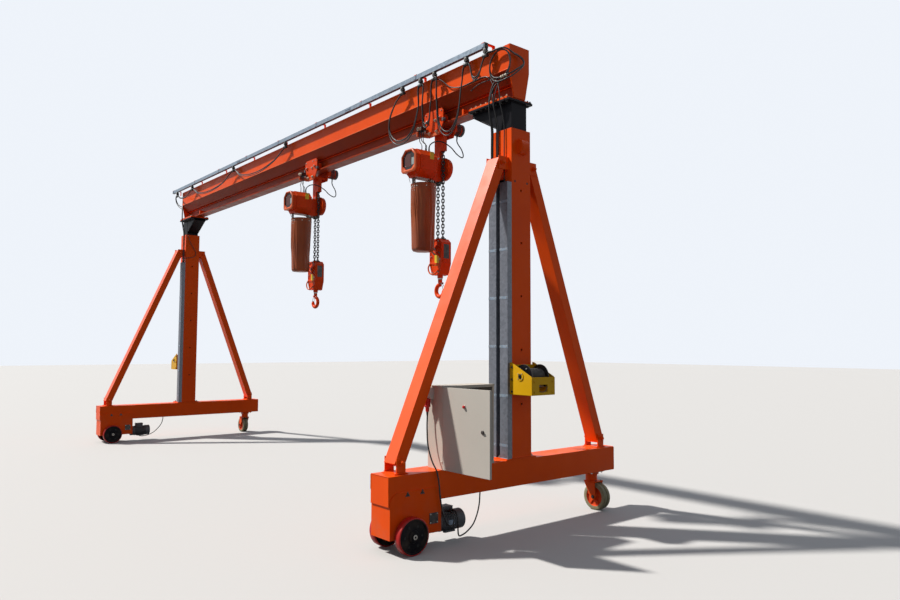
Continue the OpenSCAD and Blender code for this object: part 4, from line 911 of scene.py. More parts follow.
def makeDriveWheels(sideName, at, v):
    bm = bmesh.new()
    r, rim, width = v["wheelR"], v["rimR"], v["wheelOut"] - v["wheelIn"]
    for way in (-1, 1):
        hub = (way * v["wheelIn"], v["axleY"], v["axleZ"])
        addLathe(bm, at, hub, (way, 0, 0),
                 [(2, rim), (0, rim + 2), (0, r - 8), (3, r - 3), (9, r), (width - 9, r), (width - 3, r - 3),
                  (width, r - 8), (width, rim + 2), (width - 2, rim)], 0, 72)
        addLathe(bm, at, hub, (way, 0, 0),
                 [(2, rim), (1, rim - 3), (1, rim - 9), (14, rim - 12), (14, 52), (4, 48), (2, 26), (2,
                         25)], 1, 72)
        addLathe(bm, at, hub, (way, 0, 0),
                 [(width - 2, rim), (width - 1, rim - 3), (width - 1, rim - 9), (width - 14, rim - 12),
                  (width - 14, 52), (width - 4, 48), (width, 46), (width, 27), (width + 2, 25), (width + 8,
                          24),
                  (width + 8, 0)], 1, 72)
        # Near-black discs on the wheel face: painted shade of the holes in the wheel disc
        for a in range(6):
            angle = math.radians(a * 60)
            y, z = v["axleY"] + 86 * math.cos(angle), v["axleZ"] + 86 * math.sin(angle)
            addLathe(bm, at, (way * (v["wheelOut"] - 15), y, z), (way, 0, 0), [(3, 10), (1.6, 10), (1.4,
                    0)], 3, 20)
            angle += math.radians(30)
            y, z = v["axleY"] + 37 * math.cos(angle), v["axleZ"] + 37 * math.sin(angle)
            addBolt(bm, at, (way * v["wheelOut"], y, z), (way, 0, 0), 5, 1)
        addLathe(bm, at, (way * (v["wheelOut"] + 8), v["axleY"], v["axleZ"]), (way, 0, 0),
                 [(0, 9), (0, 19), (2, 20), (5, 19), (5, 10), (1, 9)], 2, 32)
        addBolt(bm, at, (way * (v["wheelOut"] + 8), v["axleY"], v["axleZ"]), (way, 0, 0), 7, 1)
    addRod(bm, at, (-v["wheelIn"] - 4, v["axleY"], v["axleZ"]), (v["wheelIn"] + 4, v["axleY"], v["axleZ"]),
            25, 2, 32)
    made = finishPiece(sideName + "DriveWheels", bm, sideName + "_drive_wheels",
                       ["redTyre", "black", "steel", "hole"], angle=30)
    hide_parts(sideName + "_drive_wheels")


def makeMotorDetails(sideName, at, v):
    bm = bmesh.new()
    y0, z, r = v["motorY"], v["motorZ"], v["motorR"]
    for a in range(8):
        angle = math.radians(a * 45 + 22)
        addBolt(bm, at, (62 * math.cos(angle) * 1.1, y0 + 62, z + 62 * math.sin(angle) * 1.1), (0, 1, 0),
                7, 1)
    for a in range(28):
        angle = math.radians(a * 360 / 28 + 3)
        if abs(math.sin(angle) - 1) < 0.28:
            continue
        c, s = math.cos(angle), math.sin(angle)
        addBox(bm, lambda x, y, h: at(*(Vector((0, y, z)) + Vector((c, 0, s)) * h + Vector((-s, 0, c)) * x)),
               (-1.3, y0 + 66, 70), (1.3, y0 + 232, 83.5), 0)
    for k in range(4):
        addLathe(bm, at, (0, y0 + 310.3, z), (0, 1, 0),
                 [(0, 16 + k * 17), (1.5, 17 + k * 17), (1.5, 24 + k * 17), (0, 25 + k * 17)], 0, 40)
    addLathe(bm, at, (0, y0 + 235, z), (0, 1, 0), [(0, 82), (0, r + 1), (3, r + 1.5), (6, r + 1)], 0, 48)
    addBox(bm, at, (-46, y0 + 85, 291), (46, y0 + 199, 297), 0)
    for dx in (-36, 36):
        for dy in (95, 189):
            addBolt(bm, at, (dx, y0 + dy, 297), (0, 0, 1), 5, 1)
    addBox(bm, at, (84, y0 + 120, 150), (86.4, y0 + 190, 190), 2)
    for way in (-1, 1):
        addBox(bm, at, (way * 50 - 14, y0 + 96, 84), (way * 50 + 14, y0 + 210, 98), 0)
    for dy in (-24, 24):
        addLathe(bm, at, (75, y0 + 141.8 + dy, 267), (1, 0, 0), [(-12, 14), (-10, 16), (-3, 16), (0, 12),
                (0.2, 6)], 3, 6)
        addLathe(bm, at, (75, y0 + 141.8 + dy, 267), (1, 0, 0), [(-2, 11), (4, 10.5), (10, 9.6), (20, 8),
                (28, 7), (28, 6.2)], 3, 20)
    finishPiece(sideName + "MotorDetails", bm, sideName + "_leg", ["motor", "steel", "zinc",
            "cable"], 0.6)


casterValues = {"turn": -90, "y": 1150, "trail": 70, "axleZ": 135, "radius": 135, "width": 45, "crown": 290}


def makeCaster(sideName, at, v):
    turn = math.radians(v["turn"])
    trail, axle, r, w = v["trail"], v["axleZ"], v["radius"], v["width"]

    def local(x, y, z):
        return at(x * math.cos(turn) - y * math.sin(turn),
                v["y"] + x * math.sin(turn) + y * math.cos(turn), z)

    bm = bmesh.new()
    for way in (-1, 1):
        hub = (way * 3, trail, axle)
        addLathe(bm, local, hub, (way, 0, 0),
                 [(1, r - 38), (0, r - 34), (0, r - 9), (3, r - 3), (9, r), (w - 9, r), (w - 3, r - 3), (w,
                         r - 9),
                  (w, r - 34), (w - 1, r - 38)], 0, 64)
        addLathe(bm, local, hub, (way, 0, 0), [(1, r - 38), (2, r - 42), (14, r - 46), (16, 44), (8, 36),
                (4, 12)], 1, 64)
        addLathe(bm, local, hub, (way, 0, 0),
                 [(w - 1, r - 38), (w - 2, r - 42), (w - 14, r - 46), (w - 16, 44), (w - 7, 38), (w, 35),
                         (w + 5, 34.9),
                  (w + 5, 12)], 1, 64)
        for a in range(5):
            c, s = math.cos(math.radians(a * 72)), math.sin(math.radians(a * 72))
            addPlate(bm, lambda x, y, z, c=c, s=s: local(x, trail + y * c - z * s, axle + y * s + z * c),
                     [(-5, 40), (5, 40), (8, r - 45), (-8, r - 45)], "x", *sorted((way * (w - 11),
                             way * (w - 2))), 1)
    addRod(bm, local, (-72, trail, axle), (72, trail, axle), 11.5, 2, 20)
    wheel = finishPiece(sideName + "CasterWheel", bm, sideName + "_caster_wheel",
                        ["creamTyre", "hoistOrange", "darkSteel"], angle=30)
    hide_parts(sideName + "_caster_wheel")
    bm = bmesh.new()
    for way in (-1, 1):
        addBolt(bm, local, (way * 65.5, trail, axle), (way, 0, 0), 17, 1, 0)
        addWeld(bm, local, (way * 66, -28, v["crown"] - 13), (way * 66, 96, v["crown"] - 13), 4)
        for y in (-18, 88):
            addBolt(bm, local, (way * 40, y, v["crown"]), (0, 0, 1), 9, 1)
    for k in range(22):
        a = 2 * math.pi * k / 22
        addLathe(bm, local, (74 * math.cos(a), 74 * math.sin(a), 366), (math.cos(a), math.sin(a), 0),
                 [(0, 0), (0, 5), (1.6, 4), (2.4, 0)], 1, 8)
    addLathe(bm, local, (0, 0, 352), (0, 0, 1), [(0, 60), (0, 73), (2, 75.5), (6, 76), (7, 75)], 0, 48)
    addLathe(bm, local, (0, 0, 370), (0, 0, 1), [(0, 75), (1, 76.5), (4, 76.5), (6, 74)], 0, 48)
    finishPiece(sideName + "ForkDetails", bm, sideName + "_caster_fork", ["orange",
            "darkSteel"], 0.8)


for sideName, at in sides.items():
    makeBaseDetails(sideName, at, baseValues)
    makeDriveWheels(sideName, at, baseValues)
    makeMotorDetails(sideName, at, baseValues)
    makeCaster(sideName, at, casterValues)
print("bases dressed")

# Winches
winchValues = {"x": 255, "z": 1390, "barrel": 55, "rope": 5, "half": 102}


def makeWinch(sideName, at, v):
    bm = bmesh.new()
    turns = int(2 * v["half"] / (v["rope"] * 2.15)) - 1
    points = []
    for layer in range(2):
        r = v["barrel"] + v["rope"] * (1 + 1.8 * layer)
        for i in range(turns * 14 + 1):
            a = 2 * math.pi * i / 14
            shift = (-v["half"] + 7 + i / 14 * v["rope"] * 2.15) * (1 if layer == 0 else -1)
            points.append((v["x"] + r * math.cos(a), shift, v["z"] + r * math.sin(a)))
        if layer == 0:
            points = points[:-1]
    addTube(bm, at, points, v["rope"] * 0.98, 0, 6, 1)
    for way in (-1, 1):
        y = way * 110.7
        addLathe(bm, at, (v["x"], y, v["z"]), (0, way, 0),
                 [(0, 40), (0, 104), (1.5, 106), (0, 108)], 1, 48)
        for a in range(6):
            angle = math.radians(a * 60)
            addBolt(bm, at, (v["x"] + 78 * math.cos(angle), y, v["z"] + 78 * math.sin(angle)), (0, way, 0),
                    7, 2)
        addLathe(bm, at, (v["x"], way * 150, v["z"]), (0, way, 0), [(0.5, 15), (0.5, 20), (7, 20), (9, 17),
                (9, 15)], 1, 30)
        addBolt(bm, at, (v["x"], way * 160.5, v["z"]), (0, way, 0), 8, 1)
    finishPiece(sideName + "Rope", bm, sideName + "_winch_drum", ["rope", "black", "steel"],
            angle=35)
    bm = bmesh.new()
    for way in (-1, 1):
        for x, z in ((140, 1250), (140, 1360), (140, 1470)):
            addBolt(bm, at, (x + 10, way * 150, z), (0, way, 0), 10, 2)
        addLathe(bm, at, (v["x"], way * 150, v["z"]), (0, way, 0), [(0, 22), (0, 40), (5, 40), (6, 22.5)],
                0, 36)
        for a in range(4):
            angle = math.radians(a * 90 + 45)
            addBolt(bm, at, (v["x"] + 32 * math.cos(angle), way * 155.5, v["z"] + 32 * math.sin(angle)),
                    (0, way, 0), 5, 1)
        addWeld(bm, at, (396, way * 148, 1228), (396, way * 148, 1380), 4)
        addWeld(bm, at, (127, way * 151, 1226), (127, way * 151, 1512), 4)
        addBolt(bm, at, (398, way * 118, 1345), (1, 0, 0), 8, 0)
        addBolt(bm, at, (398, way * 118, 1250), (1, 0, 0), 8, 0)
    addRod(bm, at, (300, -141, 1300), (300, 141, 1300), 9, 1, 16)
    addTube(bm, at, [(399, -48, 1258), (404, -20, 1254), (405, 15, 1262), (401, 48, 1300)], 3, 2, 8, 5)
    finishPiece(sideName + "WinchDetails", bm, sideName + "_leg", ["yellow", "steel",
            "darkSteel"], 0.8)


for sideName, at in sides.items():
    makeWinch(sideName, at, winchValues)
print("winches dressed")

# Control cabinet
cabinetValues = {"left": -75, "front": 125, "yLow": -945, "yHigh": -355, "low": 625, "high": 1320,
        "panel": -52,
                 "hinge": (137, -952), "doorY": -962}


def makeCabinet(v):
    bm = bmesh.new()
    rails = ((1180, 8), (980, 6), (800, 5))
    p = v["panel"]
    for z, count in rails:
        addPlate(bm, fromNear, [(-885, z - 17), (-415, z - 17), (-415, z + 17), (-885, z + 17)], "x",
                p + 1, p + 3, 0)
        y = -870
        for k in range(count):
            wide = (54, 72, 45, 90, 62)[(k + int(z)) % 5]
            if y + wide > -430:
                break
            tall, deep = (46, 78, 60)[(k + count) % 3], (58, 70, 82)[(k * 2 + count) % 3]
            addBox(bm, fromNear, (p + 3, y, z - tall), (p + deep * 0.7, y + wide - 4, z + tall), 1)
            addBox(bm, fromNear, (p + deep * 0.7, y + 4, z - tall * 0.5), (p + deep, y + wide - 8,
                    z + tall * 0.5), 2 if k % 2 else 1)
            for dz in (-tall + 9, tall - 9):
                for dy in range(8, wide - 10, 15):
                    addRod(bm, fromNear, (p + deep * 0.7 - 1, y + dy, z + dz), (p + deep * 0.7 + 2.5,
                            y + dy, z + dz), 4, 3, 10)
            if k % 3 == 0:
                addBox(bm, fromNear, (p + deep, y + wide / 2 - 6, z - 8), (p + deep + 6, y + wide / 2 + 4,
                        z + 8), 3)
            y += wide
    for z in (1275, 1085, 895, 705):
        addBox(bm, fromNear, (p + 0.2, -890, z - 17), (p + 40, -410, z + 17), 2)
        for k in range(30):
            addBox(bm, fromNear, (p + 18, -884 + k * 15.8, z - 18), (p + 41, -879 + k * 15.8, z + 18), 1)
    for k in range(26):
        y = -872 + k * 17
        addBox(bm, fromNear, (p + 3, y, 742), (p + 44, y + 14, 768), 2 if k % 5 else 4)
    for y in (-905, -400):
        for z in (680, 1275):
            addBolt(bm, fromNear, (p, y, z), (1, 0, 0), 7, 3)
    finishPiece("cabinetGear", bm, "near_leg", ["zinc", "plasticBlack", "plasticGrey",
            "steel", "plasticGreen"], 0.8)
    bm = bmesh.new()
    for k in range(18):
        y = -860 + k * 24
        top, low = (1132, 1104) if k % 2 else (930, 910)
        reach = 22 + 9 * dice.random()
        points = [(p + 28, y, top), (p + reach + 24, y + 3, (top + low) / 2 + 6), (p + reach + 12,
                y + dice.uniform(-9, 9), low)]
        addTube(bm, fromNear, points, 2.2, k % 4, 6, 5)
    for k in range(5):
        points = [(p + 30, -840 + 18 * k, 740), (p + 62, -838 + 16 * k, 700), (p + 70, -800 + 14 * k, 655),
                (p + 60, -780 + 12 * k, 629)]
        addTube(bm, fromNear, points, 4.5, 0, 8, 6)
    finishPiece("cabinetWires", bm, "near_leg", ["cable", "redPlastic", "wireBlue",
            "wireYellow"], angle=60)
    bm = bmesh.new()
    lip = 125.9
    for low, high in (((125, -945, 625), (lip, -925, 1320)), ((125, -375, 625), (lip, -355, 1320)),
                      ((125, -925, 1300), (lip, -375, 1320)), ((125, -925, 625), (lip, -375, 645))):
        addBox(bm, fromNear, low, high, 0)
    addBox(bm, fromNear, (-78, -948, 1320.2), (125.9, -352, 1324), 0)
    addBox(bm, fromNear, (-80, -951, 1306), (-76, -349, 1324), 0)
    for y in (-951, -353):
        addBox(bm, fromNear, (-80, y, 1308), (lip, y + 4, 1324), 0)
    for y in (-900, -400):
        for z in (690, 1260):
            addBox(bm, fromNear, (-79, y - 20, z - 16), (-75.2, y + 20, z + 16), 1)
            addBolt(bm, fromNear, (-79, y, z), (-1, 0, 0), 8, 2)
    for y in (-560, -500, -440):
        addLathe(bm, fromNear, (10, y, 624.5), (0, 0, 1), [(0.5, 26), (10, 24), (10, 14), (22, 12), (24,
                6)], 3, 6)
    finishPiece("cabinetTrim", bm, "near_leg", ["cabinet", "zinc", "steel", "cable"], 1.0)


def makeDoor():
    bm = bmesh.new()
    outer, inner = -961.9, -942
    addLathe(bm, fromNear, (422, outer, 1169), (0, -1, 0), [(0, 0), (0, 16), (4, 16), (5, 14.5), (5, 13)],
            1, 28)
    addLathe(bm, fromNear, (422, outer - 5, 1169), (0, -1, 0), [(0, 13), (8, 12.5), (13, 9), (15, 4),
            (15.4, 0)], 2, 28)
    x, z = 640, 984
    addLathe(bm, fromNear, (x, outer, z), (0, -1, 0), [(0, 0), (0, 17), (4, 17), (6, 14), (6, 0)], 3, 28)
    addBox(bm, fromNear, (x - 7, outer - 15, z - 5), (x + 22, outer - 6, z + 5), 3)
    addRod(bm, fromNear, (x, inner - 14, z), (x, inner + 6, z), 9, 1, 16)
    addPlate(bm, fromNear, [(x - 6, z - 6), (x + 50, z - 4), (x + 50, z + 4), (x - 6, z + 6)], "y",
            inner + 0.5,
             inner + 3.5, 1)
    for low, high in (((148, 634), (716, 640)), ((148, 1305), (716, 1311)), ((148, 640), (154, 1305)),
            ((710, 640), (716, 1305))):
        addBox(bm, fromNear, (low[0], inner - 12, low[1]), (high[0], inner + 0.6, high[1]), 4)
    addBox(bm, fromNear, (250, inner - 17, 760), (600, inner - 13, 1010), 0)
    addBox(bm, fromNear, (250, inner - 16, 760), (254, inner + 8, 960), 0)
    addBox(bm, fromNear, (596, inner - 16, 760), (600, inner + 8, 960), 0)
    addBox(bm, fromNear, (250, inner + 5, 760), (600, inner + 8, 920), 0)
    addRod(bm, fromNear, (422, inner - 17, 1169), (422, inner + 28, 1169), 11, 3, 16)
    addTube(bm, fromNear, [(422, inner + 18, 1160), (400, inner + 22, 1100), (300, inner + 10, 1010), (200,
            inner + 2, 960), (160, inner - 6, 930)], 4, 5, 8, 6)
    finishPiece("doorFittings", bm, "cabinet_door",
                ["cabinet", "steel", "lampRed", "darkSteel", "plasticBlack", "cable"], 0.6)


def makeInlet():
    bm = bmesh.new()
    x, y = -30, -989
    addBox(bm, fromNear, (x - 34, -989, 1217), (x + 34, -945.2, 1303), 1)
    addLathe(bm, fromNear, (x, -965, 1222), (0, -0.35, -1), [(0, 0), (0, 34), (12, 36), (14, 33)], 1, 32)
    addLathe(bm, fromNear, (x, y, 1216), (0, 0, -1),
             [(0, 26), (4, 28), (14, 28), (16, 26), (58, 25), (62, 27.5), (70, 27.5), (76, 20), (80, 17),
                     (112, 15), (116, 10), (116, 6.5)], 0, 32)
    for a in range(10):
        angle = math.radians(a * 36)
        addRod(bm, fromNear, (x + 26 * math.cos(angle), y + 26 * math.sin(angle), 1198),
                (x + 25.4 * math.cos(angle), y + 25.4 * math.sin(angle), 1160), 2.2, 0, 8)
    addLathe(bm, fromNear, (x, y, 1108), (0, 0, -1), [(0, 12), (2, 11.5), (14, 9.6), (30, 8), (40, 7), (40,
            6.3)], 2, 20)
    addPlate(bm, fromNear, [(x - 30, 1222), (x + 30, 1222), (x + 22, 1262), (x - 22, 1262)], "y", -991,
            -986, 1)
    for dx in (-27, 27):
        for z in (1224, 1296):
            addBolt(bm, fromNear, (x + dx, -989, z), (0, -1, 0), 4, 3)
    made = finishPiece("inletPlug", bm, "near_leg", ["redPlastic", "whitePlastic", "cable",
            "steel"], 1.5)
    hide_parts("power_inlet")


makeCabinet(cabinetValues)
makeDoor()
makeInlet()
print("cabinet dressed")

# Hoists, trolleys, hook blocks and chain bags
hoistSides = {"near": -1080, "far": -3750}
hoistValues = {"low": 3420, "high": 3712, "mid": 3566, "half": 131, "cut": 70, "front": -430,
               "step": -370, "stepIn": 6, "stepLow": 46, "rear": -150, "case": 74, "fall": 42}
jumperValues = {"from": ((-178, -152), (-154, -146), (-130, -140)), "to": ((-46, -222), (-20, -180), (8,
        -214))}
bagValues = {"y": -230, "radius": 134, "top": 3362, "low": 2652, "taper": 15, "thickness": 2.2}
blockValues = {"low": 2416, "high": 2801, "half": 100, "thick": 60, "bowlZ": 2252, "bowlR": 64, "wire": 22}


def cutOutline(half, low, high, cut, lowCut):
    return [(half, low + lowCut), (half, high - cut), (half - cut, high), (cut - half, high),
            (-half, high - cut), (-half, low + lowCut), (lowCut - half, low), (half - lowCut, low)]


def housingOutline(inset, v):
    return cutOutline(v["half"] - inset, v["low"] + inset, v["high"] - inset, v["cut"] - inset * 0.59,
                      v["cut"] - inset * 0.59)


def coverOutline(inset, v):
    inner = v["stepIn"] + inset
    return cutOutline(v["half"] - inner, v["low"] + v["stepLow"] + inset, v["high"] - inner,
                      v["cut"] - inner * 0.59, 26 + inset * 0.2)


def windowOutline(inset, v):
    half, mid = 97 - inset, v["mid"] + 23
    return cutOutline(half, mid - 94 + inset, mid + 94 - inset, 44 - inset * 0.4, 42 - inset * 0.4)


def addRing(bm, at, outer, inner, low, high, mat, lip=0.0):
    rings = []
    for outline, depth in ((outer, low), (outer, high), (inner, high), (inner, low)):
        rings.append([bm.verts.new(at(x, depth, z)) for x, z in outline])
    if lip:
        middle = [((a + c) / 2, (b + d) / 2) for (a, b), (c, d) in zip(outer, inner)]
        rings.insert(2, [bm.verts.new(at(x, high + lip, z)) for x, z in middle])
    for i, a in enumerate(rings):
        b = rings[(i + 1) % len(rings)]
        for k in range(len(outer)):
            n = (k + 1) % len(outer)
            bm.faces.new([a[k], a[n], b[n], b[k]]).material_index = mat


def addGland(bm, at, where, direction, radius, mat, hexMat):
    addLathe(bm, at, where, direction, [(-2, radius * 1.9), (9, radius * 1.9), (10, radius * 1.6)], hexMat,
            6)
    addLathe(bm, at, where, direction, [(8, radius * 1.5), (16, radius * 1.45), (18, radius * 1.3),
                                        (34, radius * 1.15), (46, radius * 1.06), (46,
                                                radius * 0.96)], mat, 20)


def makeHoist(sideName, at, v):
    finish = {"paint": 0, "dark": 1, "grey": 2, "label": 3, "steel": 4, "iron": 5, "cover": 6, "brown": 7,
            "cable": 8}
    bm = bmesh.new()
    front, mid = v["front"], v["mid"]
    addRing(bm, at, coverOutline(-1.5, v), windowOutline(-3, v), front + 8, front - 2, finish["cover"], -7)
    addRing(bm, at, windowOutline(-4, v), windowOutline(0, v), front + 11.5, front + 2, finish["cover"], -1)
    addPlate(bm, at, windowOutline(-1, v), "y", front + 10.6, front + 11.6, finish["dark"])
    addPlate(bm, at, [(-76, mid - 42), (28, mid - 42), (28, mid + 92), (-48, mid + 92), (-76, mid + 64)],
            "y",
             front + 8.6, front + 10.5, finish["brown"])
    addPlate(bm, at, [(40, mid - 30), (84, mid - 30), (84, mid + 46), (40, mid + 46)], "y", front + 7.6,
             front + 10.5, finish["grey"])
    for x, z in ((-66, 62), (18, 82), (-66, -32), (18, -32), (46, 40), (78, 40), (46, -24), (78, -24)):
        addBolt(bm, at, (x, front + 8.4, mid + z), (0, -1, 0), 3.2, finish["steel"])
    for x, z in ((112, -52), (112, 56), (-112, -52), (-112, 56), (52, 128), (-52, 128), (84, -88), (-84,
            -88)):
        addBolt(bm, at, (x, front - 2, mid + z), (0, -1, 0), 6, finish["iron"])
    addRing(bm, at, housingOutline(-1.6, v), housingOutline(5, v), v["rear"] - 12, v["rear"] - 1,
            finish["paint"], 1)
    addRing(bm, at, housingOutline(-0.8, v), housingOutline(5, v), v["step"] - 1, v["step"] + 5,
            finish["paint"])
    for x, z in ((122, -54), (122, 54), (-122, -54), (-122, 54)):
        addBolt(bm, at, (x * 0.96, v["rear"] - 1, mid + z), (0, 1, 0), 8, finish["steel"])
    addPlate(bm, at, [(-250, mid + 44), (-196, mid + 44), (-196, mid + 122), (-250, mid + 122)], "x",
             v["half"] + 0.2, v["half"] + 1.4, finish["label"])
    for y, z in ((-336, 26), (-340, -40), (-190, 30), (-196, -62)):
        addBolt(bm, at, (v["half"], y, mid + z), (1, 0, 0), 5, finish["paint"])
        addBolt(bm, at, (-v["half"], y, mid + z), (-1, 0, 0), 5, finish["paint"])
    for k in range(12):
        a = math.radians(k * 30 + 15)
        addBolt(bm, at, (104 * math.cos(a), v["case"], mid + 104 * math.sin(a)), (0, 1, 0), 7,
                finish["steel"])
    addLathe(bm, at, (0, v["case"], mid), (0, 1, 0), [(0, 0), (0, 84), (7, 82), (12, 62), (12, 34), (17,
            30), (17, 0)],
             finish["paint"], 48)
    for k in range(18):
        a = math.radians(k * 20)
        addBox(bm, lambda x, y, z, c=math.cos(a), s=math.sin(a): at(x * c - z * s, y, mid + x * s + z * c),
               (-2, v["case"] + 1, 38), (2, v["case"] + 10, 80), finish["paint"])
    addBox(bm, at, (-74, -44, v["low"] - 14), (30, 22, v["low"] + 1), finish["iron"])
    addLathe(bm, at, (-v["fall"], 0, v["low"] - 13), (0, 0, -1), [(0, 23.5), (0, 33), (14, 30), (16, 23.5)],
             finish["iron"], 28)
    for x, y in ((-68, -36), (22, -36), (22, 14)):
        addBolt(bm, at, (x, y, v["low"] - 14), (0, 0, -1), 6, finish["steel"])
    addTube(bm, at, [(-52, -140, 3419), (-34, -128, 3402), (-6, -122, 3396), (26, -132, 3408), (44, -146,
            3419)],
            6, finish["steel"], 10, 6)
    addBox(bm, at, (-18, -146, 3400), (20, -110, 3421), finish["steel"])
    for x in (-60, 0):
        addBolt(bm, at, (x, 25.3, 3676), (0, 1, 0), 12, finish["steel"])
        addBolt(bm, at, (x, -25.3, 3676), (0, -1, 0), 12, finish["steel"])
    addGland(bm, at, (50, -200, v["high"]), (0, 0, 1), 6.6, finish["cable"], finish["steel"])
    for x, y in jumperValues["to"]:
        addGland(bm, at, (x, y, v["high"]), (0, 0, 1), 4.6, finish["cable"], finish["steel"])
    addTube(bm, at, [(-100, -330, 3490), (-118, -336, 3460), (-120, -330, 3424), (-118, -318, 3392)], 2.4,
            finish["cable"], 8, 6)
    finishPiece(sideName + "HoistDetails", bm, sideName + "_hoist",
                ["hoistOrange", "darkPlate", "plateGrey", "label", "steel", "darkSteel", "coverOrange",
                        "plateBrown",
                 "cable"], 1.0)


def makeTrolley(sideName, at):
    finish = {"paint": 0, "steel": 1, "cream": 2, "motor": 3, "cable": 4, "dark": 5, "cover": 6}
    bm = bmesh.new()
    for way in (-1, 1):
        y = way * 99
        for x in (-106, 106):
            addLathe(bm, at, (x, y, 4084.3), (0, way, 0), [(-1, 26), (6, 25), (7, 16), (13, 15), (14, 11),
                    (14, 0)],
                     finish["paint"], 28)
            addBolt(bm, at, (x, y + way * 13, 4084.3), (0, way, 0), 11, finish["steel"], 4)
        for x in (-60, 60):
            addLathe(bm, at, (x, y, 3945), (0, way, 0), [(0, 18), (0, 28), (6, 28), (7, 18)],
                    finish["paint"], 28)
            addBolt(bm, at, (x, y + way * 10, 3945), (0, way, 0), 17,
                    finish["cream"] if way < 0 else finish["steel"], 7)
        addBolt(bm, at, (30, y, 4074), (0, way, 0), 15, finish["cream"], 6)
        for x in (-130, 52, 130):
            addBolt(bm, at, (x, y, 4160), (0, way, 0), 8, finish["steel"], 3)
        addPlate(bm, at, [(-92, 3908), (92, 3908), (104, 3934), (-104, 3934)], "y", *sorted((y,
                y + way * 7)),
                 finish["cover"] if way < 0 else finish["paint"])
    for x in (-160, 160):
        for way in (-1, 1):
            outward = 1 if x > 0 else -1
            addBox(bm, at, (x - 12, way * 93 - 16, 4040), (x + 12, way * 93 + 16, 4075), finish["motor"])
            addLathe(bm, at, (x + 12 * outward, way * 93, 4058), (outward, 0, 0), [(0, 13), (10, 14), (14,
                    10), (15, 0)],
                     finish["motor"], 20)
    # Clamp bracket where the last loop of the festoon ends
    addPlate(bm, at, [(-196, 3982), (-86, 3950), (-78, 3916), (-102, 3906), (-204, 3940)], "y", -116, -99.2,
             finish["cover"])
    addBox(bm, at, (-212, -168, 3936), (-198, -99.2, 3986), finish["cover"])
    addBox(bm, at, (-200, -176, 3988), (-112, -112, 4028), finish["dark"])
    for x, y, z, r in ((-170, -176, 4010, 17), (-134, -176, 4004, 15)):
        addLathe(bm, at, (x, y, z), (0, -1, 0), [(0, r + 2), (6, r + 2), (7, r - 3), (15, r - 4), (17,
                r * 0.5), (17, 0)],
                 finish["cream"], 20)
    for x, y in jumperValues["from"]:
        addGland(bm, at, (x, y, 3990), (0, 0, -1), 4.6, finish["cable"], finish["dark"])
    addBox(bm, at, (-66, 168.5, 3995), (66, 172, 4110), finish["paint"])
    for x in (-62, 62):
        for z in (4000, 4120):
            addBolt(bm, at, (x, 169, z), (0, 1, 0), 7, finish["steel"])
    for k in range(6):
        addLathe(bm, at, (0, 182 + k * 11, 4040), (0, 1, 0), [(0, 59), (0, 66), (4, 66), (4, 59)],
                finish["motor"], 36)
    addLathe(bm, at, (0, 258, 4040), (0, 1, 0), [(0, 60), (0, 66), (3, 68), (30, 68), (35, 62), (35.5, 20),
            (35.5, 0)],
             finish["motor"], 40)
    addBox(bm, at, (-34, 186, 4094), (34, 250, 4122), finish["motor"])
    addBolt(bm, at, (-26, 194, 4122), (0, 0, 1), 4, finish["steel"])
    addBolt(bm, at, (26, 242, 4122), (0, 0, 1), 4, finish["steel"])
    addGland(bm, at, (0, 230, 3982), (0, 0, -1), 6.6, finish["cable"], finish["dark"])
    finishPiece(sideName + "TrolleyDetails", bm, sideName + "_hoist",
                ["hoistOrange", "steel", "creamBolt", "motor", "cable", "darkPlate", "coverOrange"], 1.0)


def makeJumpers(sideName, at, v):
    for k, ((x, y), (toX, toY)) in enumerate(zip(jumperValues["from"], jumperValues["to"])):
        points = [(x, y, 3944), (x, y, 3898), ((x + toX) / 2, (y + toY) / 2 - 8, 3848 - 4 * k),
                  (toX, toY, 3794), (toX, toY, v["high"] + 26)]
        makeCable("%sJumper%d" % (sideName, k + 1), [at(*p) for p in points], cableValues["jumper"],
                  sideName + "_hoist")


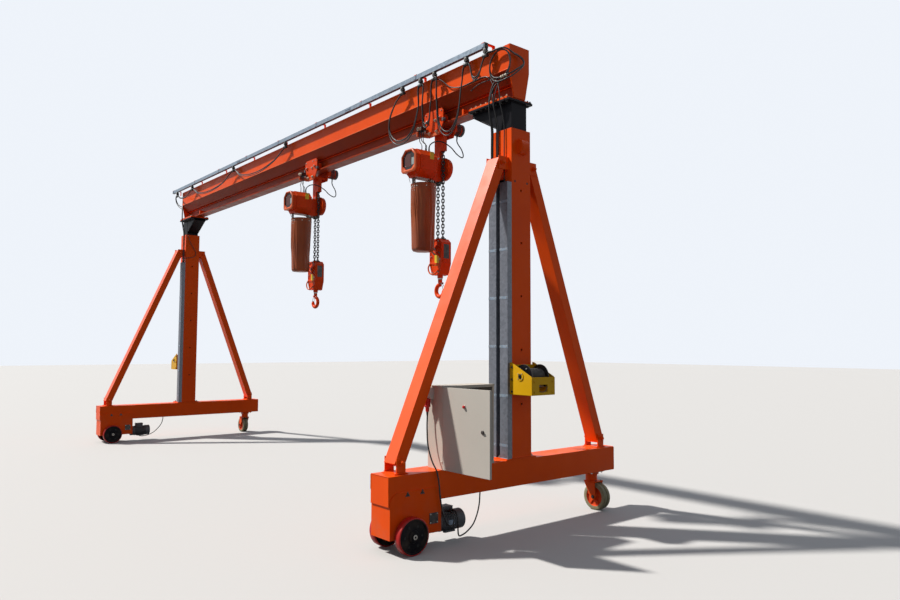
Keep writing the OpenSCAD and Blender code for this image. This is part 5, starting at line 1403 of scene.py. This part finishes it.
def makeBlock(sideName, at, v):
    finish = {"paint": 0, "steel": 1, "label": 2, "dark": 3, "cover": 4}
    low, high, half, thick = v["low"], v["high"], v["half"], v["thick"]
    face = [(-half, low + 120), (-60, low), (60, low), (half, low + 120), (half, high - 40), (60, high),
            (-60, high),
            (-half, high - 40)]
    mid = (low + high) / 2
    bm = bmesh.new()
    for way in (-1, 1):
        y = way * thick
        inner = [(x * 0.86, mid + (z - mid) * 0.92) for x, z in face]
        addRing(bm, at, face, inner, y - way, y + way * 6, finish["paint"])
        for top, drop in ((2770, 0), (2716, 1)):
            addPlate(bm, at, [(-84, top - 8), (-84, top - 26), (72, top - 96 - 20 * drop), (72,
                    top - 78 - 20 * drop)],
                     "y", *sorted((y, y + way * 11)), finish["paint"])
            # Thin dark plate below each ridge: painted shadow under the ridge
            addPlate(bm, at, [(-80, top - 30), (-80, top - 46), (66, top - 136 - 20 * drop), (66,
                    top - 118 - 20 * drop)],
                     "y", *sorted((y, y + way * 1.5)), finish["dark"])
        addLathe(bm, at, (0, y, 2692), (0, way, 0), [(0, 46), (4, 46), (10, 40), (10, 24), (15, 22), (15,
                0)],
                 finish["paint"], 40)
        addBolt(bm, at, (0, y + way * 14, 2692), (0, way, 0), 14, finish["steel"], 3)
        addPlate(bm, at, [(-96, 2560), (92, 2532), (92, 2514), (-96, 2538)], "y", *sorted((y, y + way * 8)),
                 finish["paint"])
        for x, z in ((-74, 2616), (76, 2580), (-48, 2444), (48, 2444), (52, 2776), (-52, 2776)):
            addBolt(bm, at, (x, y + way * 5, z), (0, way, 0), 8, finish["steel"], 2)
        # Guard loop below the label
        addTube(bm, at, [(-92, y + way * 4, 2546), (-104, y + way * 20, 2500), (-78, y + way * 26, 2446),
                         (-30, y + way * 26, 2424), (22, y + way * 22, 2436), (48, y + way * 4, 2466)], 8,
                finish["cover"], 12, 6)
    addPlate(bm, at, [(-20, 2518), (50, 2518), (50, 2630), (-20, 2630)], "y", -thick - 1.6, -thick,
            finish["label"])
    for way in (-1, 1):
        addPlate(bm, at, [(-48, 2578), (48, 2578), (48, 2752), (-48, 2752)], "x", *sorted((way * half,
                way * (half + 3))),
                 finish["paint"])
        # Dark inset plate on each end face: painted shade standing in for the opening between the cheeks
        addPlate(bm, at, [(-37, 2588), (37, 2588), (37, 2742), (-37, 2742)], "x",
                 *sorted((way * half, way * (half + 3.6))), finish["dark"])
        addPlate(bm, at, [(-58, 2546), (58, 2546), (58, 2562), (-58, 2562)], "x", *sorted((way * half,
                way * (half + 6))),
                 finish["paint"])
        addRod(bm, at, (way * half, -44, 2560), (way * (half + 12), -44, 2566), 8, finish["paint"], 16, 2)
        addLathe(bm, at, (way * 42, 0, high - 1), (0, 0, 1), [(0, 24), (0, 36), (8, 34), (10, 24)],
                finish["dark"], 28)
    finishPiece(sideName + "BlockDetails", bm, sideName + "_hoist",
                ["hoistOrange", "steel", "label", "darkSteel", "coverOrange"], 1.2)


def makeHookLatch(sideName, at, v, way):
    bm = bmesh.new()
    collar, neck = v["low"] - 31, v["bowlZ"] + v["bowlR"] + v["wire"]
    addLathe(bm, at, (0, 0, collar + 1), (0, 0, -1), [(0, 20), (0, 27), (14, 27), (16, 21)], 1, 6)
    addLathe(bm, at, (0, 0, collar - 15), (0, 0, -1), [(0, 21), (2, 23.5), (22, 23), (36, 21.4)], 0, 28)
    points = [(16 * way, 0, neck - 8), (38 * way, 0, neck - 26), (56 * way, 0, neck - 52), (60 * way, 0,
            neck - 74)]
    for side in (-1, 1):
        addTube(bm, at, [(x, side * 12, z) for x, y, z in points], 2.8, 1, 8, 6)
        addLathe(bm, at, (18 * way, side * 19, neck - 6), (0, side, 0), [(0, 0), (0, 11), (4, 11), (5, 0)],
                0, 16)
    addTube(bm, at, [(60 * way, -12, neck - 74), (64 * way, 0, neck - 80), (60 * way, 12, neck - 74)], 2.8,
            1, 8, 5)
    addRod(bm, at, (18 * way, -21, neck - 6), (18 * way, 21, neck - 6), 5, 1, 12, 1)
    finishPiece(sideName + "HookLatch", bm, sideName + "_hook", ["hoistOrange", "steel"],
            angle=35)


def bagRadius(v, t, angle, waves, creases):
    r = v["radius"] - v["taper"] * (1 - t)
    settle = 1 - 0.8 * t ** 5
    for number, phase, size, drift in waves:
        r += size * math.sin(number * angle + phase + drift * t * 3) * settle
    for at, height, width, depth, slope in creases:
        turn = (angle - at - slope * (t - height) + math.pi) % (2 * math.pi) - math.pi
        r += depth * math.exp(-(turn / width) ** 2 - ((t - height) / 0.34) ** 2)
    if t < 0.045:
        r -= 16 * (1 - t / 0.045) ** 2
    if 0.93 < t < 0.965:
        r = v["radius"] - 3
    return min(r, v["radius"] + 2)


def makeBag(sideName, at, v, seed):
    folds = random.Random(seed)
    waves = [(folds.randint(2, 7), folds.uniform(0, 6.28), folds.uniform(0.6, 1.9), folds.uniform(-1.2, 1.2))
             for _ in range(7)]
    # Long upright folds below the rim, then short creases low down
    creases = [(folds.uniform(0, 6.28), folds.uniform(0.5, 0.8), folds.uniform(0.05, 0.09),
            folds.uniform(3, 7),
                folds.uniform(-0.35, 0.35)) for _ in range(12)]
    creases += [(-2.3 + 0.2 * k, 0.84 - 0.06 * (k % 3), 0.04, 13 - k % 2 * 4,
            0.3 - 0.16 * k) for k in range(6)]
    creases += [(folds.uniform(0, 6.28), folds.uniform(0.02, 0.3), folds.uniform(0.1, 0.2),
            folds.uniform(-8, -3),
                 folds.uniform(-1.2, 1.2)) for _ in range(12)]
    columns, rows = 160, 110
    bm = bmesh.new()
    rings = []
    for j in range(rows + 1):
        t = j / rows
        z = v["low"] + (v["top"] - v["low"]) * t
        ring = []
        for k in range(columns):
            angle = 2 * math.pi * k / columns
            r = bagRadius(v, t, angle, waves, creases)
            ring.append(bm.verts.new(at(r * math.cos(angle), v["y"] + r * math.sin(angle), z)))
        rings.append(ring)
    for a, b in zip(rings, rings[1:]):
        for k in range(columns):
            n = (k + 1) % columns
            bm.faces.new([a[k], a[n], b[n], b[k]])
    centre = bm.verts.new(at(0, v["y"], v["low"] + 4))
    for k in range(columns):
        bm.faces.new([rings[0][(k + 1) % columns], rings[0][k], centre])
    made = finishPiece(sideName + "Bag", bm, sideName + "_hoist", ["canvas"], angle=80)
    shell = made.modifiers.new("thickness", "SOLIDIFY")
    shell.thickness = v["thickness"] / 1000
    shell.offset = -1
    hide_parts(sideName + "_chain_bag")


def makeBagFittings(sideName, at, v):
    bm = bmesh.new()
    for z, r, half in ((v["top"] - 34, v["radius"] - 0.6, 13), (v["top"] - 3, v["radius"] - 1.4, 4)):
        outer = [(r * math.cos(2 * math.pi * k / 96),
                v["y"] + r * math.sin(2 * math.pi * k / 96)) for k in range(96)]
        inner = [(x * 0.982, v["y"] + (y - v["y"]) * 0.982) for x, y in outer]
        rings = []
        for outline, h in ((outer, z - half), (outer, z + half), (inner, z + half), (inner, z - half)):
            rings.append([bm.verts.new(at(x, y, h)) for x, y in outline])
        for i in range(4):
            a, b = rings[i], rings[(i + 1) % 4]
            for k in range(96):
                n = (k + 1) % 96
                bm.faces.new([a[k], a[n], b[n], b[k]]).material_index = 0
    for way in (-1, 1):
        y = v["y"] + way * (v["radius"] - 4)
        addBox(bm, at, (-28, y - 2.5, v["top"] - 90), (28, y + 2.5, 3420), 2)
        for x in (-16, 16):
            for z in (v["top"] - 78, v["top"] - 34, v["top"] + 12):
                addLathe(bm, at, (x, y + way * 2.5, z), (0, way, 0), [(0, 0), (0, 7), (2, 5), (2.4, 0)], 1,
                        14)
    for k in range(8):
        a = math.radians(k * 45 + 20)
        r = v["radius"] - 0.4
        addLathe(bm, at, (r * math.cos(a), v["y"] + r * math.sin(a), v["top"] - 34), (math.cos(a),
                math.sin(a), 0),
                 [(0, 0), (0, 7), (2, 5.5), (2.2, 0)], 1, 14)
    finishPiece(sideName + "BagBand", bm, sideName + "_hoist", ["canvasBand", "steel",
            "canvasDark"], angle=40)
    bm = bmesh.new()
    for i in range(6):
        addLink(bm, at, (0, -136 - i * 10, 3398 - i * 21 + i * i), 5.5, 34, 45 + (i % 2) * 90)
    finishPiece(sideName + "SlackChain", bm, sideName + "_hoist", ["chain"], angle=60)


def addLink(bm, at, centre, wire, pitch, turn):
    bend = wire * 2.36
    half = (pitch + wire * 2 - 2 * bend) / 2
    path = [(bend * math.cos(math.pi * k / 8), half + bend * math.sin(math.pi * k / 8)) for k in range(9)]
    path += [(-x, -z) for x, z in path]
    spin = Matrix.Rotation(math.radians(turn), 3, "Z")
    rings = []
    for i, (x, z) in enumerate(path):
        before, after = path[i - 1], path[(i + 1) % len(path)]
        along = Vector((after[0] - before[0], 0, after[1] - before[1])).normalized()
        side = along.cross(Vector((0, 1, 0)))
        ring = []
        for k in range(8):
            a = 2 * math.pi * k / 8
            corner = Vector((x, 0, z)) + side * wire * math.cos(a) + Vector((0, 1, 0)) * wire * math.sin(a)
            ring.append(bm.verts.new(at(*(Vector(centre) + spin @ corner))))
        rings.append(ring)
    for i, a in enumerate(rings):
        b = rings[(i + 1) % len(rings)]
        for k in range(8):
            bm.faces.new([a[k], a[(k + 1) % 8], b[(k + 1) % 8], b[k]])


for sideName, offset in hoistSides.items():
    def hoistAt(x, y, z, offset=offset):
        return fromNear(x + offset, y, z)
    makeHoist(sideName, hoistAt, hoistValues)
    makeTrolley(sideName, hoistAt)
    makeJumpers(sideName, hoistAt, hoistValues)
    makeBlock(sideName, hoistAt, blockValues)
    makeHookLatch(sideName, hoistAt, blockValues, -1 if sideName == "far" else 1)
    makeBag(sideName, hoistAt, bagValues, 5 if sideName == "near" else 8)
    makeBagFittings(sideName, hoistAt, bagValues)
print("hoists dressed", pieceCount)
